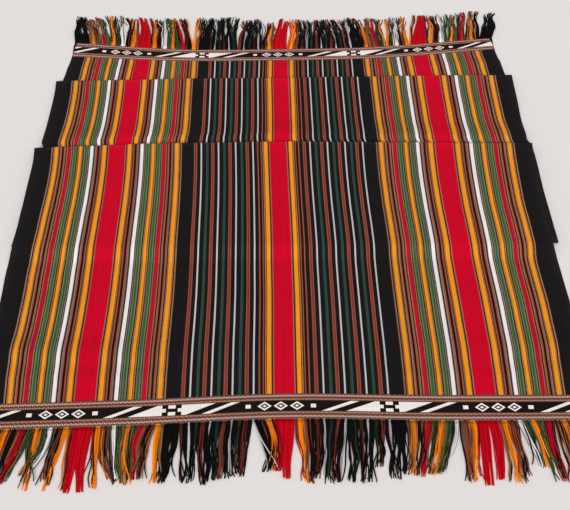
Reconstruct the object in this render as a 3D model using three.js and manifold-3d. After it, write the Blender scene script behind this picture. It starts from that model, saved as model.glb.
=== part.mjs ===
// A wide striped wrapper cloth that lies on a floor, folded back and forth in five layers.
// Millimetres. +X is to the right, +Y runs away from the person looking at it, +Z is up.
import * as THREE from "three";
import { mergeVertices } from "three/addons/utils/BufferGeometryUtils.js";
import Module from "manifold-3d";

const wasm = await Module();
wasm.setup();

// Driving sizes of the cloth
const CLOTH_THICKNESS = 1.4;
const LAYER_GAP = 0.9;
const LAYER_PITCH = CLOTH_THICKNESS + LAYER_GAP;
const PIECE_GAP = 0.3;
const COLUMNS = 12;

// A far fold isn't pressed, so the layer above it stands up a little along the fold
const FOLD_PUFF = 2.2;
const FOLD_PUFF_REACH = 32;
const FOLD_PUFF_STEPS = 5;
const FOLD_ARC_STEPS = 6;

// Patterned bands, worked across both ends with a raised cord along each edge
const FAR_BAND_WIDTH = 39.5;
const NEAR_BAND_WIDTH = 46;
const BAND_PROFILE = [
  { across: 0.0, height: 0.8 },
  { across: 0.09, height: 1.4 },
  { across: 0.5, height: 1.1 },
  { across: 0.91, height: 1.4 },
  { across: 1.0, height: 0.8 },
];

// Fringe: a narrow heading strip that starts under the band, with loose locks of warp
const BAND_OVER_HEADING = 8;
const HEADING_PAST_BAND = 9;
const LOCK_ROOT_DEPTH = 4;
const LOCKS_PER_END = 84;
const LOCK_WIDTH = 5.6;
const LOCK_HEIGHT = 2.6;
const LOCK_TOP_SHARE = 0.55;
const LOCK_WANDER = 1.1;
const LOCK_SECTIONS = [
  { along: 0.0, width: 0.95, height: 0.45, wander: 0.0 },
  { along: 0.3, width: 1.0, height: 1.0, wander: 1.0 },
  { along: 0.7, width: 0.85, height: 0.9, wander: -0.6 },
  { along: 1.0, width: 0.4, height: 0.4, wander: 0.4 },
];

// Places across the cloth, from -1 at the left edge to 1 at the right edge
const FIVE_ACROSS = [-1, -0.5, 0, 0.5, 1];
const THREE_ACROSS = [-1, 0, 1];

// Edges of the two bands and of the cloth under them: y at five places across, and x of the
// left edge, centre line and right edge
const FAR_BAND_INNER = { y: [436, 421, 422.7, 432.2, 462.5], x: [-472, -9.5, 469] };
const FAR_BAND_OUTER = { y: shifted(FAR_BAND_INNER.y, FAR_BAND_WIDTH), x: [-467, -9.5, 461] };
const FAR_END = { y: shifted(FAR_BAND_OUTER.y, -BAND_OVER_HEADING), x: [-468, -9.5, 462] };
const NEAR_BAND_INNER = { y: [-450.7, -442.1, -430.4, -433.3, -432.5], x: [-488.5, -0.8, 490] };
const NEAR_BAND_OUTER = { y: shifted(NEAR_BAND_INNER.y, -NEAR_BAND_WIDTH), x: [-483, -0.8, 486] };
const NEAR_END = { y: shifted(NEAR_BAND_OUTER.y, BAND_OVER_HEADING), x: [-484, -0.8, 487] };

// The cloth from its far end to its near end. A fold of 1 turns back at the far side and -1 at the
// near side, its y is the outside of the fold, and the cloth leaves it one layer higher.
// rows is the number of steps to the next line.
const STATIONS = [
  { at: "far end", layer: 0, fold: 0, rows: 1, ...FAR_END },
  { at: "far band", layer: 0, fold: 0, rows: 3, ...FAR_BAND_INNER },
  { at: "below fold 1", layer: 0, fold: 0, rows: 6, y: [352, 357, 361, 365, 369], x: [-478, -9.5, 478] },
  { at: "near fold 1", layer: 0, fold: -1, rows: 6, y: [-119, -115, -112, -108, -103], x: [-497, -5, 497] },
  { at: "far fold 1", layer: 1, fold: 1, rows: 4, y: [347, 355.5, 360.5, 366, 368], x: [-492, -9.5, 490.5] },
  { at: "below fold 2", layer: 2, fold: 0, rows: 4, y: [137, 150, 155, 153, 151], x: [-487.5, -6.5, 493.5] },
  { at: "near fold 2", layer: 2, fold: -1, rows: 5, y: [-123, -119, -116, -112, -107], x: [-501.5, -5, 501.5] },
  { at: "far fold 2", layer: 3, fold: 1, rows: 5, y: [135, 150, 155, 153, 151], x: [-500, -13.5, 494.5] },
  { at: "step top", layer: 4, fold: 0, rows: 8, y: [-124, -120, -117, -113, -108], x: [-497.5, -5.5, 489] },
  { at: "step foot", layer: 0, fold: 0, rows: 3, y: [-164, -159, -155, -151, -146], x: [-499, -5, 493] },
  { at: "front middle", layer: 0, fold: 0, rows: 3, y: [-244, -241, -239, -237, -235], x: [-498.5, -3, 497.5] },
  { at: "front bend", layer: 0, fold: 0, rows: 3, y: [-346, -344, -342, -340, -338], x: [-498.5, -2, 495.5] },
  { at: "near band", layer: 0, fold: 0, rows: 1, ...NEAR_BAND_INNER },
  { at: "near end", layer: 0, fold: 0, rows: 0, ...NEAR_END },
];

// Fringe at each end: reach is the length of the locks at five places across, splay is how far
// the tips spread sideways there, uneven is the most by which one lock is shorter than the next
const FRINGES = {
  far: {
    clothEnd: FAR_END,
    bandEdge: FAR_BAND_OUTER,
    away: 1,
    reach: [114.5, 124.5, 119, 109, 97],
    splay: [-20, -6, 0, 6, 20],
    uneven: 14,
    seed: 7,
  },
  near: {
    clothEnd: NEAR_END,
    bandEdge: NEAR_BAND_OUTER,
    away: -1,
    reach: [110, 103.5, 105.5, 110, 112],
    splay: [-16, -4, 0, 3, 8],
    uneven: 12,
    seed: 19,
  },
};

function shifted(values, by) {
  return values.map((value) => value + by);
}

// A smooth curve through values given at rising keys
function curveThrough(keys, values, key) {
  const last = keys.length - 1;
  const slopeAt = (i) => {
    const before = Math.max(i - 1, 0);
    const after = Math.min(i + 1, last);
    return (values[after] - values[before]) / (keys[after] - keys[before]);
  };
  let i = 0;
  while (i < last - 1 && key > keys[i + 1]) i += 1;
  const span = keys[i + 1] - keys[i];
  const t = (key - keys[i]) / span;
  const rise = values[i + 1] - values[i];
  const bendIn = slopeAt(i) * span - rise;
  const bendOut = rise - slopeAt(i + 1) * span;
  return values[i] + rise * t + t * (1 - t) * (bendIn * (1 - t) + bendOut * t);
}

// One closed solid through rings of equal length. A ring runs along one side and back along the
// other, turning left as seen along the rings, so each end is closed by strips from side to side.
function loftedSolid(rings) {
  const size = rings[0].length;
  const index = [];
  const quad = (a, b, c, d) => index.push(a, c, b, a, d, c);
  for (let r = 0; r + 1 < rings.length; r += 1) {
    for (let i = 0; i < size; i += 1) {
      const next = (i + 1) % size;
      quad(r * size + i, r * size + next, (r + 1) * size + next, (r + 1) * size + i);
    }
  }
  const end = (rings.length - 1) * size;
  for (let i = 0; i < size / 2 - 1; i += 1) {
    quad(i, size - 1 - i, size - 2 - i, i + 1);
    quad(end + i, end + i + 1, end + size - 2 - i, end + size - 1 - i);
  }
  const geometry = new THREE.BufferGeometry();
  geometry.setAttribute("position", new THREE.Float32BufferAttribute(rings.flat(2), 3));
  geometry.setIndex(index);
  return geometry;
}

function placeAcross(line, v) {
  return { x: curveThrough(THREE_ACROSS, line.x, v), y: curveThrough(FIVE_ACROSS, line.y, v) };
}

function columnsAcross() {
  return Array.from({ length: COLUMNS + 1 }, (_, i) => (2 * i) / COLUMNS - 1);
}

function layerHeight(layer) {
  return CLOTH_THICKNESS / 2 + layer * LAYER_PITCH;
}

function puffOf(station) {
  return station.fold > 0 ? FOLD_PUFF : 0;
}

function foldRadius(station) {
  return (LAYER_PITCH + puffOf(station)) / 2;
}

// The stretches of cloth between the folds, each with the stations that it passes
function stretchesOfCloth() {
  const stretches = [[]];
  for (const station of STATIONS) {
    stretches.at(-1).push(station);
    if (station.fold) stretches.push([station]);
  }
  return stretches;
}

// Rows of one stretch: a row is the middle of the cloth's thickness along one line across it
function stretchRows(stations) {
  const first = stations[0];
  const puff = puffOf(first);
  const lines = stations.map((station) => ({
    x: station.x,
    y: shifted(station.y, -station.fold * (foldRadius(station) + CLOTH_THICKNESS / 2)),
    z: layerHeight(station.layer + (station.fold && station === first ? 1 : 0)),
  }));
  const keys = [0];
  lines.slice(1).forEach((line, i) => keys.push(keys[i] + Math.abs(line.y[2] - lines[i].y[2])));
  const distances = stations.slice(0, -1).flatMap((station, i) =>
    Array.from({ length: station.rows }, (_, j) =>
      THREE.MathUtils.lerp(keys[i], keys[i + 1], j / station.rows),
    ),
  );
  if (puff) {
    for (let j = 1; j <= FOLD_PUFF_STEPS; j += 1) {
      distances.push((FOLD_PUFF_REACH * j) / FOLD_PUFF_STEPS);
    }
  }
  distances.push(keys.at(-1));
  distances.sort((a, b) => a - b);
  return distances.map((distance) => {
    const i = Math.min(keys.findLastIndex((key) => key <= distance), keys.length - 2);
    const ease = THREE.MathUtils.smoothstep(distance, keys[i], keys[i + 1]);
    const puffLeft = 1 - THREE.MathUtils.smoothstep(distance, 0, FOLD_PUFF_REACH);
    return {
      x: THREE_ACROSS.map((_, k) => curveThrough(keys, lines.map((line) => line.x[k]), distance)),
      y: FIVE_ACROSS.map((_, k) => curveThrough(keys, lines.map((line) => line.y[k]), distance)),
      z: THREE.MathUtils.lerp(lines[i].z, lines[i + 1].z, ease) + puff * puffLeft,
    };
  });
}

// Rows round a fold, between the last row of one stretch and the first row of the next
function foldRows(station) {
  const radius = foldRadius(station);
  const inset = radius + CLOTH_THICKNESS / 2;
  const rows = [];
  for (let j = 1; j < FOLD_ARC_STEPS; j += 1) {
    const turn = (Math.PI * j) / FOLD_ARC_STEPS;
    rows.push({
      x: station.x,
      y: shifted(station.y, station.fold * (radius * Math.sin(turn) - inset)),
      z: layerHeight(station.layer) + radius * (1 - Math.cos(turn)),
    });
  }
  return rows;
}

function clothRows() {
  return stretchesOfCloth().flatMap((stations) => {
    const rows = stretchRows(stations);
    const end = stations.at(-1);
    return end.fold ? [...rows, ...foldRows(end)] : rows;
  });
}

function clothGeometry() {
  const rows = clothRows();
  const columns = columnsAcross();
  const rings = rows.map((row, r) => {
    const before = rows[Math.max(r - 1, 0)];
    const after = rows[Math.min(r + 1, rows.length - 1)];
    const dy = after.y[2] - before.y[2];
    const dz = after.z - before.z;
    const length = Math.hypot(dy, dz);
    const side = (v, half) => {
      const { x, y } = placeAcross(row, v);
      return [x, y + (half * dz) / length, row.z - (half * dy) / length];
    };
    const face = columns.map((v) => side(v, CLOTH_THICKNESS / 2));
    const back = columns.map((v) => side(v, -CLOTH_THICKNESS / 2));
    return [...face, ...back.reverse()];
  });
  return loftedSolid(rings);
}

// A band lies on the cloth, from its inner edge to its outer edge
function bandGeometry(inner, outer) {
  const bottom = CLOTH_THICKNESS + PIECE_GAP;
  const rings = columnsAcross().map((v) => {
    const from = placeAcross(inner, v);
    const to = placeAcross(outer, v);
    const point = (across, height) => [
      THREE.MathUtils.lerp(from.x, to.x, across),
      THREE.MathUtils.lerp(from.y, to.y, across),
      bottom + height,
    ];
    const top = BAND_PROFILE.map((row) => point(row.across, row.height));
    const under = BAND_PROFILE.map((row) => point(row.across, 0));
    return [...top, ...under.reverse()];
  });
  return loftedSolid(outer.y[2] > inner.y[2] ? rings : rings.reverse());
}

function headingGeometry({ clothEnd, bandEdge, away }) {
  const inner = { x: clothEnd.x, y: shifted(clothEnd.y, away * PIECE_GAP) };
  const outer = { x: bandEdge.x, y: shifted(bandEdge.y, away * HEADING_PAST_BAND) };
  const rings = columnsAcross().map((v) => {
    const from = placeAcross(inner, v);
    const to = placeAcross(outer, v);
    return [
      [from.x, from.y, CLOTH_THICKNESS],
      [to.x, to.y, CLOTH_THICKNESS],
      [to.x, to.y, 0],
      [from.x, from.y, 0],
    ];
  });
  return loftedSolid(away > 0 ? rings : rings.reverse());
}

// One lock of warp, flat on the floor, with four sides that narrow to its tip
function lockGeometry(fringe, i) {
  const { bandEdge, away, reach, splay, uneven } = fringe;
  const v = (2 * (i + 0.5)) / LOCKS_PER_END - 1;
  const root = placeAcross(bandEdge, v);
  const chance = () => THREE.MathUtils.seededRandom();
  const length = curveThrough(FIVE_ACROSS, reach, v) - uneven * chance() + LOCK_ROOT_DEPTH;
  const lean = curveThrough(FIVE_ACROSS, splay, v);
  const wander = LOCK_WANDER * (2 * chance() - 1);
  const rings = LOCK_SECTIONS.map((section) => {
    const x = root.x + lean * section.along ** 2 + wander * section.wander;
    const y = root.y + away * (HEADING_PAST_BAND - LOCK_ROOT_DEPTH + length * section.along);
    const half = (LOCK_WIDTH * section.width) / 2;
    const top = half * LOCK_TOP_SHARE;
    const height = LOCK_HEIGHT * section.height;
    return [
      [x - top, y, height],
      [x + top, y, height],
      [x + half, y, 0],
      [x - half, y, 0],
    ];
  });
  return loftedSolid(away > 0 ? rings.reverse() : rings);
}

function solidOf(geometry) {
  const merged = mergeVertices(geometry);
  return new wasm.Manifold(
    new wasm.Mesh({
      numProp: 3,
      vertProperties: merged.attributes.position.array,
      triVerts: new Uint32Array(merged.index.array),
    }),
  );
}

function geometryOf(solid) {
  const { vertProperties, triVerts } = solid.getMesh();
  const geometry = new THREE.BufferGeometry();
  geometry.setAttribute("position", new THREE.BufferAttribute(vertProperties, 3));
  geometry.setIndex(new THREE.BufferAttribute(triVerts, 1));
  return geometry;
}

function fringeGeometry(fringe) {
  THREE.MathUtils.seededRandom(fringe.seed);
  let solid = solidOf(headingGeometry(fringe));
  for (let i = 0; i < LOCKS_PER_END; i += 1) {
    solid = solid.add(solidOf(lockGeometry(fringe, i)));
  }
  return geometryOf(solid);
}

function named(name, geometry, color) {
  const material = new THREE.MeshStandardMaterial({ color, roughness: 0.9, metalness: 0 });
  const mesh = new THREE.Mesh(geometry, material);
  mesh.name = name;
  return mesh;
}

const wrapper = new THREE.Group();
wrapper.add(
  named("cloth", clothGeometry(), "#7a3026"),
  named("far_band", bandGeometry(FAR_BAND_INNER, FAR_BAND_OUTER), "#46403c"),
  named("near_band", bandGeometry(NEAR_BAND_INNER, NEAR_BAND_OUTER), "#46403c"),
  named("far_fringe", fringeGeometry(FRINGES.far), "#8a4a26"),
  named("near_fringe", fringeGeometry(FRINGES.near), "#8a4a26"),
);

// The origin is on the floor, under the middle of everything
const middle = new THREE.Box3().setFromObject(wrapper).getCenter(new THREE.Vector3());
wrapper.position.set(-middle.x, -middle.y, 0);

export default wrapper;
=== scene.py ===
"""Looks of a wide striped wrapper cloth that lies folded on a floor, with worked end bands and fringes.

Metres. +X is to the right, +Y runs away from the person looking at it, +Z is up.
"""
import math
from typing import NamedTuple

import bpy
import numpy as np
from mathutils import Color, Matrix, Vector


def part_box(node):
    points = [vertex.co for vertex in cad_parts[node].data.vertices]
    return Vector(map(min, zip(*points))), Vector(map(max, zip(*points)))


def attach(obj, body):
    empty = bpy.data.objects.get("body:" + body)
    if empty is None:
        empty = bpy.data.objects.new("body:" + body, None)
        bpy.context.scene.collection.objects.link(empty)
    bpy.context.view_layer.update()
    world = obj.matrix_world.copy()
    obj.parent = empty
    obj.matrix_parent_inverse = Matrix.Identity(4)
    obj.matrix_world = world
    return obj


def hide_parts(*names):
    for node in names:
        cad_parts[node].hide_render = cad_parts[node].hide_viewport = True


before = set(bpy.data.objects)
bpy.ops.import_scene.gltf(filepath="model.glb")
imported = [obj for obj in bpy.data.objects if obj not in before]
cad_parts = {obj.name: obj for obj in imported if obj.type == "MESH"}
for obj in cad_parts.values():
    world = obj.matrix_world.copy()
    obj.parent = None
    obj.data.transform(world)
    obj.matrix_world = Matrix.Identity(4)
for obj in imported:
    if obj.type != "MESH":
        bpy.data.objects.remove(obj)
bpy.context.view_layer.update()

bl_info = {
    "name": "Folded striped wrapper",
    "version": (1, 0, 0),
    "blender": (4, 5, 0),
    "location": "3D View > Sidebar > Wrapper",
    "description": "Lays out a striped wrapper cloth, folded on a floor, with its end bands and fringes",
    "category": "Object",
}

BODY = "root"
BAKE_MAP = "OFBake"
PLY_MAP = "ply"

# The folded section: middle of the lowest layer, way from layer to layer, and puff of the far folds
CLOTH_HALF = 0.0007
LAYER_PITCH = 0.0023
FOLD_PUFF = 0.0022
FOLD_PUFF_REACH = 0.032
FOLD_PUFF_STEPS = 12
FOLD_ARC_STEPS = 10

# The bands, the heading under them, and the roots of the loose warp on the heading
FAR_BAND_WIDTH = 0.0395
NEAR_BAND_WIDTH = 0.046
BAND_GAP = 0.00005
BAND_OVER_HEADING = 0.008
HEADING_PAST_BAND = 0.009
HEADING_LENGTH = BAND_OVER_HEADING + HEADING_PAST_BAND
HEADING_MIDDLE = 0.006
HEADING_GAP = 0.0003
HEADING_ROWS = 9
YARN_ROOT = 0.002

# Steps of the cloth's mesh: where it shows, where it drops from the layers, and where it is covered
SHOWN = 0.005
DROP = 0.003
COVERED = 0.025

# Places across the cloth, from -1 at the left edge to 1 at the right edge
FIVE_ACROSS = (-1.0, -0.5, 0.0, 0.5, 1.0)
PULL_START = 0.68

# Ways beside a fold or a band over which creases fade, a fold wanders, and the cloth is rubbed
FOLD_COVER = 0.012
BAND_HOLD = 0.02
FOLD_WANDER_REACH = 0.03
FOLD_RUB_REACH = 0.006

# Turns across the cloth and shares of the waves by which a fold wanders
WANDER_WAVES = ((1.7, 0.45), (3.9, 0.35), (8.3, 0.2))

# Wavy side edges: way to the side, angle for each metre along, turn between the sides, and closeness
EDGE_WAVE = 0.0009
EDGE_WAVE_RATE = 34.0
EDGE_WAVE_TURN = 2.0
EDGE_WAVE_POWER = 7
EDGE_RUB_POWER = 60

# Edges that turn by more than this stay sharp
CLOTH_SHARP = math.radians(55)
BAND_SHARP = math.radians(70)


class Line(NamedTuple):
    """A line across the cloth: y and x at five places."""

    y: tuple
    x: tuple

    def moved(self, by, x=None):
        return Line(tuple(value + by for value in self.y), x or self.x)


class Station(NamedTuple):
    """A line that the cloth passes, with the layer it lies in and the mesh step up to the next line.

    A fold of 1 turns back at the far side and -1 at the near side, its line is the outside of the
    fold, and the cloth leaves it one layer higher. The stripes beside the left and the right border
    are pulled to the side by `pull`.
    """

    at: str
    layer: int
    fold: int
    step: float
    line: Line
    pull: tuple = (0.0, 0.0)


FAR_BAND_INNER = Line((0.436, 0.421, 0.4227, 0.4322, 0.4625), (-0.472, -0.2405, -0.0095, 0.2225, 0.469))
FAR_BAND_OUTER = Line((0.4845, 0.4615, 0.4622, 0.4717, 0.502), (-0.467, -0.2375, -0.0095, 0.2195, 0.461))
FAR_ROOT = FAR_BAND_OUTER.moved(0.0, (-0.473, -0.244, -0.0117, 0.2245, 0.4685))
FAR_END = FAR_ROOT.moved(-BAND_OVER_HEADING)
NEAR_BAND_INNER = Line(
    (-0.4507, -0.4421, -0.4304, -0.4333, -0.4325), (-0.4885, -0.2442, -0.0008, 0.2458, 0.490)
)
NEAR_BAND_OUTER = NEAR_BAND_INNER.moved(-NEAR_BAND_WIDTH, (-0.483, -0.2414, -0.0008, 0.2438, 0.486))
NEAR_END = NEAR_BAND_OUTER.moved(BAND_OVER_HEADING, (-0.484, -0.242, -0.0008, 0.2444, 0.487))
FAR_FOLD_1 = Line((0.346, 0.3525, 0.3575, 0.363, 0.366), (-0.492, -0.2495, -0.0095, 0.2355, 0.4905))
FAR_FOLD_2 = Line((0.133, 0.1465, 0.1515, 0.150, 0.148), (-0.500, -0.2585, -0.0145, 0.2365, 0.4967))

STATIONS = (
    Station("far end", 0, 0, SHOWN, FAR_END),
    Station("far band", 0, 0, SHOWN, FAR_BAND_INNER, (-0.006, 0.006)),
    Station("below fold 1", 0, 0, COVERED,
            Line((0.352, 0.357, 0.361, 0.365, 0.369), (-0.4802, -0.240, -0.0095, 0.2245, 0.478)),
            (-0.0028, 0.0042)),
    Station("near fold 1", 0, -1, COVERED,
            Line((-0.119, -0.115, -0.112, -0.108, -0.103), (-0.497, -0.251, -0.005, 0.246, 0.497))),
    Station("under middle", 1, 0, COVERED,
            Line((0.200, 0.205, 0.210, 0.215, 0.220), (-0.4855, -0.2505, -0.0085, 0.2385, 0.4855))),
    Station("far fold 1", 1, 1, SHOWN, FAR_FOLD_1, (-0.0026, 0.0026)),
    Station("middle", 2, 0, SHOWN,
            Line((0.2475, 0.2560, 0.2600, 0.2600, 0.2600), (-0.4880, -0.2469, -0.0072, 0.2367, 0.4885)),
            (-0.0012, 0.0027)),
    Station("lower middle", 2, 0, SHOWN,
            Line((0.164, 0.1755, 0.180, 0.179, 0.177), (-0.4900, -0.2456, -0.0060, 0.2388, 0.4895)),
            (-0.0026, 0.0056)),
    Station("ridge", 2, 0, SHOWN,
            Line((0.149, 0.1620, 0.1665, 0.165, 0.163), (-0.4905, -0.2482, -0.0064, 0.2394, 0.4895)),
            (-0.003, 0.0066)),
    Station("below fold 2", 2, 0, COVERED,
            Line((0.135, 0.1465, 0.1515, 0.150, 0.148), (-0.4817, -0.2494, -0.0038, 0.2445, 0.4963)),
            (-0.0075, 0.0036)),
    Station("near fold 2", 2, -1, COVERED,
            Line((-0.123, -0.119, -0.116, -0.112, -0.1145), (-0.4991, -0.253, -0.005, 0.248, 0.5001))),
    Station("under top", 3, 0, COVERED,
            Line((0.010, 0.012, 0.016, 0.018, 0.020), (-0.4968, -0.2535, -0.0085, 0.2445, 0.4965))),
    Station("far fold 2", 3, 1, SHOWN, FAR_FOLD_2, (-0.0015, 0.0024)),
    Station("top middle", 4, 0, SHOWN,
            Line((0.025, 0.027, 0.029, 0.028, 0.027), (-0.4951, -0.2521, -0.0104, 0.2357, 0.4905)),
            (0.0, 0.002)),
    Station("step top", 4, 0, DROP,
            Line((-0.124, -0.120, -0.117, -0.113, -0.114), (-0.4975, -0.2493, -0.0055, 0.2412, 0.489)),
            (0.0, 0.0045)),
    Station("step foot", 0, 0, SHOWN,
            Line((-0.164, -0.159, -0.155, -0.151, -0.152), (-0.499, -0.249, -0.005, 0.2419, 0.493))),
    Station("front middle", 0, 0, SHOWN,
            Line((-0.244, -0.241, -0.239, -0.237, -0.235), (-0.4965, -0.2470, -0.003, 0.2435, 0.4968))),
    Station("front bend", 0, 0, SHOWN,
            Line((-0.346, -0.344, -0.342, -0.340, -0.338), (-0.4970, -0.2470, -0.002, 0.2460, 0.4953))),
    Station("near band", 0, 0, SHOWN, NEAR_BAND_INNER),
    Station("near end", 0, 0, SHOWN, NEAR_END),
)

# Stretches of cloth between the folds that show, counted from the far end
BACK_FLAP = 0
MIDDLE_FLAP = 2
TOP_FLAP = 4


class Crease(NamedTuple):
    """A soft ridge across one flap: its reach to the near and far side, and y and height at five places."""

    flap: int
    near: float
    far: float
    y: tuple
    height: tuple


RIDGE_BEHIND_FOLD = 0.023
CREASES = (
    Crease(MIDDLE_FLAP, 0.015, 0.050,
           FAR_FOLD_2.moved(RIDGE_BEHIND_FOLD).y, (0.0036, 0.0050, 0.0054, 0.0050, 0.0042)),
    Crease(MIDDLE_FLAP, 0.030, 0.040,
           (0.252, 0.262, 0.270, 0.266, 0.258), (0.0006, 0.0012, 0.0008, 0.0014, 0.0006)),
    Crease(BACK_FLAP, 0.018, 0.022,
           (0.392, 0.390, 0.396, 0.402, 0.414), (0.0016, 0.0008, 0.0012, 0.0010, 0.0026)),
    Crease(TOP_FLAP, 0.050, 0.045,
           (0.040, 0.026, 0.034, 0.020, 0.036), (0.0008, 0.0014, 0.0006, 0.0012, 0.0010)),
    Crease(TOP_FLAP, 0.040, 0.035,
           (-0.050, -0.066, -0.058, -0.072, -0.054), (0.0012, 0.0006, 0.0012, 0.0005, 0.0014)),
    Crease(TOP_FLAP, 0.035, 0.050,
           (-0.262, -0.250, -0.258, -0.246, -0.252), (0.0020, 0.0010, 0.0016, 0.0009, 0.0022)),
    Crease(TOP_FLAP, 0.026, 0.036,
           (-0.346, -0.352, -0.340, -0.344, -0.336), (0.0042, 0.0020, 0.0012, 0.0010, 0.0024)),
    Crease(TOP_FLAP, 0.018, 0.022,
           (-0.404, -0.398, -0.392, -0.396, -0.390), (0.0008, 0.0014, 0.0006, 0.0012, 0.0008)),
)


class Ripple(NamedTuple):
    """Shallow waves along the cloth that wander on their way across, broken up by slanted waves.

    The rates are angles for each metre along or for each half of the width across.
    """

    share: float
    along: float
    wander: float
    wander_across: float
    wander_start: float
    slant_across: float
    slant_along: float
    slant_start: float


RIPPLES = (
    Ripple(1.0, 31.0, 5.0, 3.1, 1.0, 9.0, 11.0, 0.0),
    Ripple(0.6, 74.0, 2.6, 5.3, 0.0, 4.0, -19.0, 0.7),
)
RIPPLE_MIDDLE = 0.5
RIPPLE_SWING = 0.3

# Weaver's chart in warp ends, each group from its middle outwards
SIDE_CHART = (
    ("red", 15), ("pink", 1.2), ("brown_fleck", 4.2), ("orange", 6), ("brown_fleck", 4),
    ("rust", 2.4), ("umber", 3.6), ("rust", 2.4), ("grey_fleck", 4.6), ("white", 6), ("grey_fleck", 4.6),
    ("olive", 1.6), ("green", 3.3), ("olive", 1.8), ("brown_fleck", 4.2), ("orange", 5),
    ("brown_fleck", 4.6), ("olive", 1.6), ("green", 3.3), ("olive", 1.8), ("brown_fleck", 4.5),
    ("crimson", 5.5), ("brown_fleck", 4.6), ("rust", 2), ("umber", 3.4), ("rust", 2),
    ("brown_fleck", 5.6), ("orange", 6), ("brown_fleck", 7.2),
)
CENTRE_CHART = (
    ("red", 15), ("pink", 1), ("brown_fleck", 3.9), ("orange", 6), ("brown_fleck", 4.9), ("rust", 1.8),
    ("umber", 4), ("rust", 2.4),
)
NARROW_CHART = (
    ("rust", 1.3), ("maroon", 3.2), ("rust", 1.3), ("black", 6.4), ("pale", 2.6), ("black", 7.4),
    ("bottle", 4.6), ("black", 5.2),
)
NARROW_REPEATS = 3
NARROW_LAST_STRIPES = 5
BORDER_ENDS = 33
BROAD_BLACK_ENDS = 22
THIN_BLACK_ENDS = 6.2


def mirrored(chart):
    return (*reversed(chart), *chart)


def ends_of(chart):
    return sum(ends for _, ends in chart)


NARROW_ORDER = (*NARROW_CHART * NARROW_REPEATS, *NARROW_CHART[:NARROW_LAST_STRIPES])
NARROW_ENDS = ends_of(NARROW_ORDER)
WARP_ORDER = (
    ("black", BORDER_ENDS), *mirrored(SIDE_CHART), ("black", BROAD_BLACK_ENDS),
    *NARROW_ORDER, ("black", THIN_BLACK_ENDS), *mirrored(CENTRE_CHART), ("black", THIN_BLACK_ENDS),
    *NARROW_ORDER, ("black", BROAD_BLACK_ENDS), *mirrored(SIDE_CHART), ("black", BORDER_ENDS),
)
WARP_ENDS = ends_of(WARP_ORDER)
MIDDLE_END = WARP_ENDS / 2
SIDE_MIDDLES = (BORDER_ENDS + ends_of(SIDE_CHART), WARP_ENDS - BORDER_ENDS - ends_of(SIDE_CHART))
NARROW_STARTS = (
    BORDER_ENDS + 2 * ends_of(SIDE_CHART) + BROAD_BLACK_ENDS,
    MIDDLE_END + ends_of(CENTRE_CHART) + THIN_BLACK_ENDS,
)


class Tuft(NamedTuple):
    """A tuft of loose warp, from the one before it to the place `stop` across the cloth.

    Its tips lie `lean` to the right and `reach` away from the middle of the heading, where `draw` is
    the share of its width that is left.
    """

    stop: float
    lean: float
    reach: float
    draw: float


FAR_TUFTS = (
    Tuft(-0.935, -0.013, 0.095, 0.45), Tuft(-0.88, -0.019, 0.089, 0.9), Tuft(-0.825, -0.029, 0.097, 0.9),
    Tuft(-0.75, -0.016, 0.106, 1.0), Tuft(-0.70, -0.012, 0.104, 0.95), Tuft(-0.665, -0.009, 0.105, 0.75),
    Tuft(-0.63, -0.011, 0.106, 0.75), Tuft(-0.57, -0.009, 0.104, 0.8), Tuft(-0.545, -0.010, 0.099, 1.3),
    Tuft(-0.50, -0.006, 0.108, 1.0), Tuft(-0.46, -0.022, 0.102, 1.0), Tuft(-0.425, -0.019, 0.109, 0.8),
    Tuft(-0.30, 0.0, 0.112, 0.95), Tuft(-0.205, -0.005, 0.116, 0.9), Tuft(-0.14, 0.006, 0.105, 0.8),
    Tuft(-0.08, -0.001, 0.106, 0.9), Tuft(-0.035, 0.009, 0.093, 0.95), Tuft(0.0, 0.011, 0.106, 0.7),
    Tuft(0.035, 0.008, 0.104, 0.75), Tuft(0.11, 0.003, 0.104, 0.87), Tuft(0.17, -0.001, 0.102, 1.0),
    Tuft(0.25, -0.008, 0.101, 0.77), Tuft(0.32, -0.015, 0.103, 0.86), Tuft(0.34, -0.008, 0.104, 1.0),
    Tuft(0.42, -0.014, 0.104, 0.75), Tuft(0.50, -0.008, 0.102, 0.87), Tuft(0.565, -0.001, 0.100, 1.0),
    Tuft(0.62, -0.002, 0.101, 0.8), Tuft(0.665, 0.018, 0.108, 0.7), Tuft(0.70, 0.010, 0.101, 0.7),
    Tuft(0.745, 0.005, 0.096, 0.8), Tuft(0.79, 0.004, 0.101, 0.85), Tuft(0.835, 0.012, 0.096, 0.75),
    Tuft(0.94, 0.013, 0.102, 0.75), Tuft(1.0, 0.022, 0.091, 0.4),
)
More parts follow.
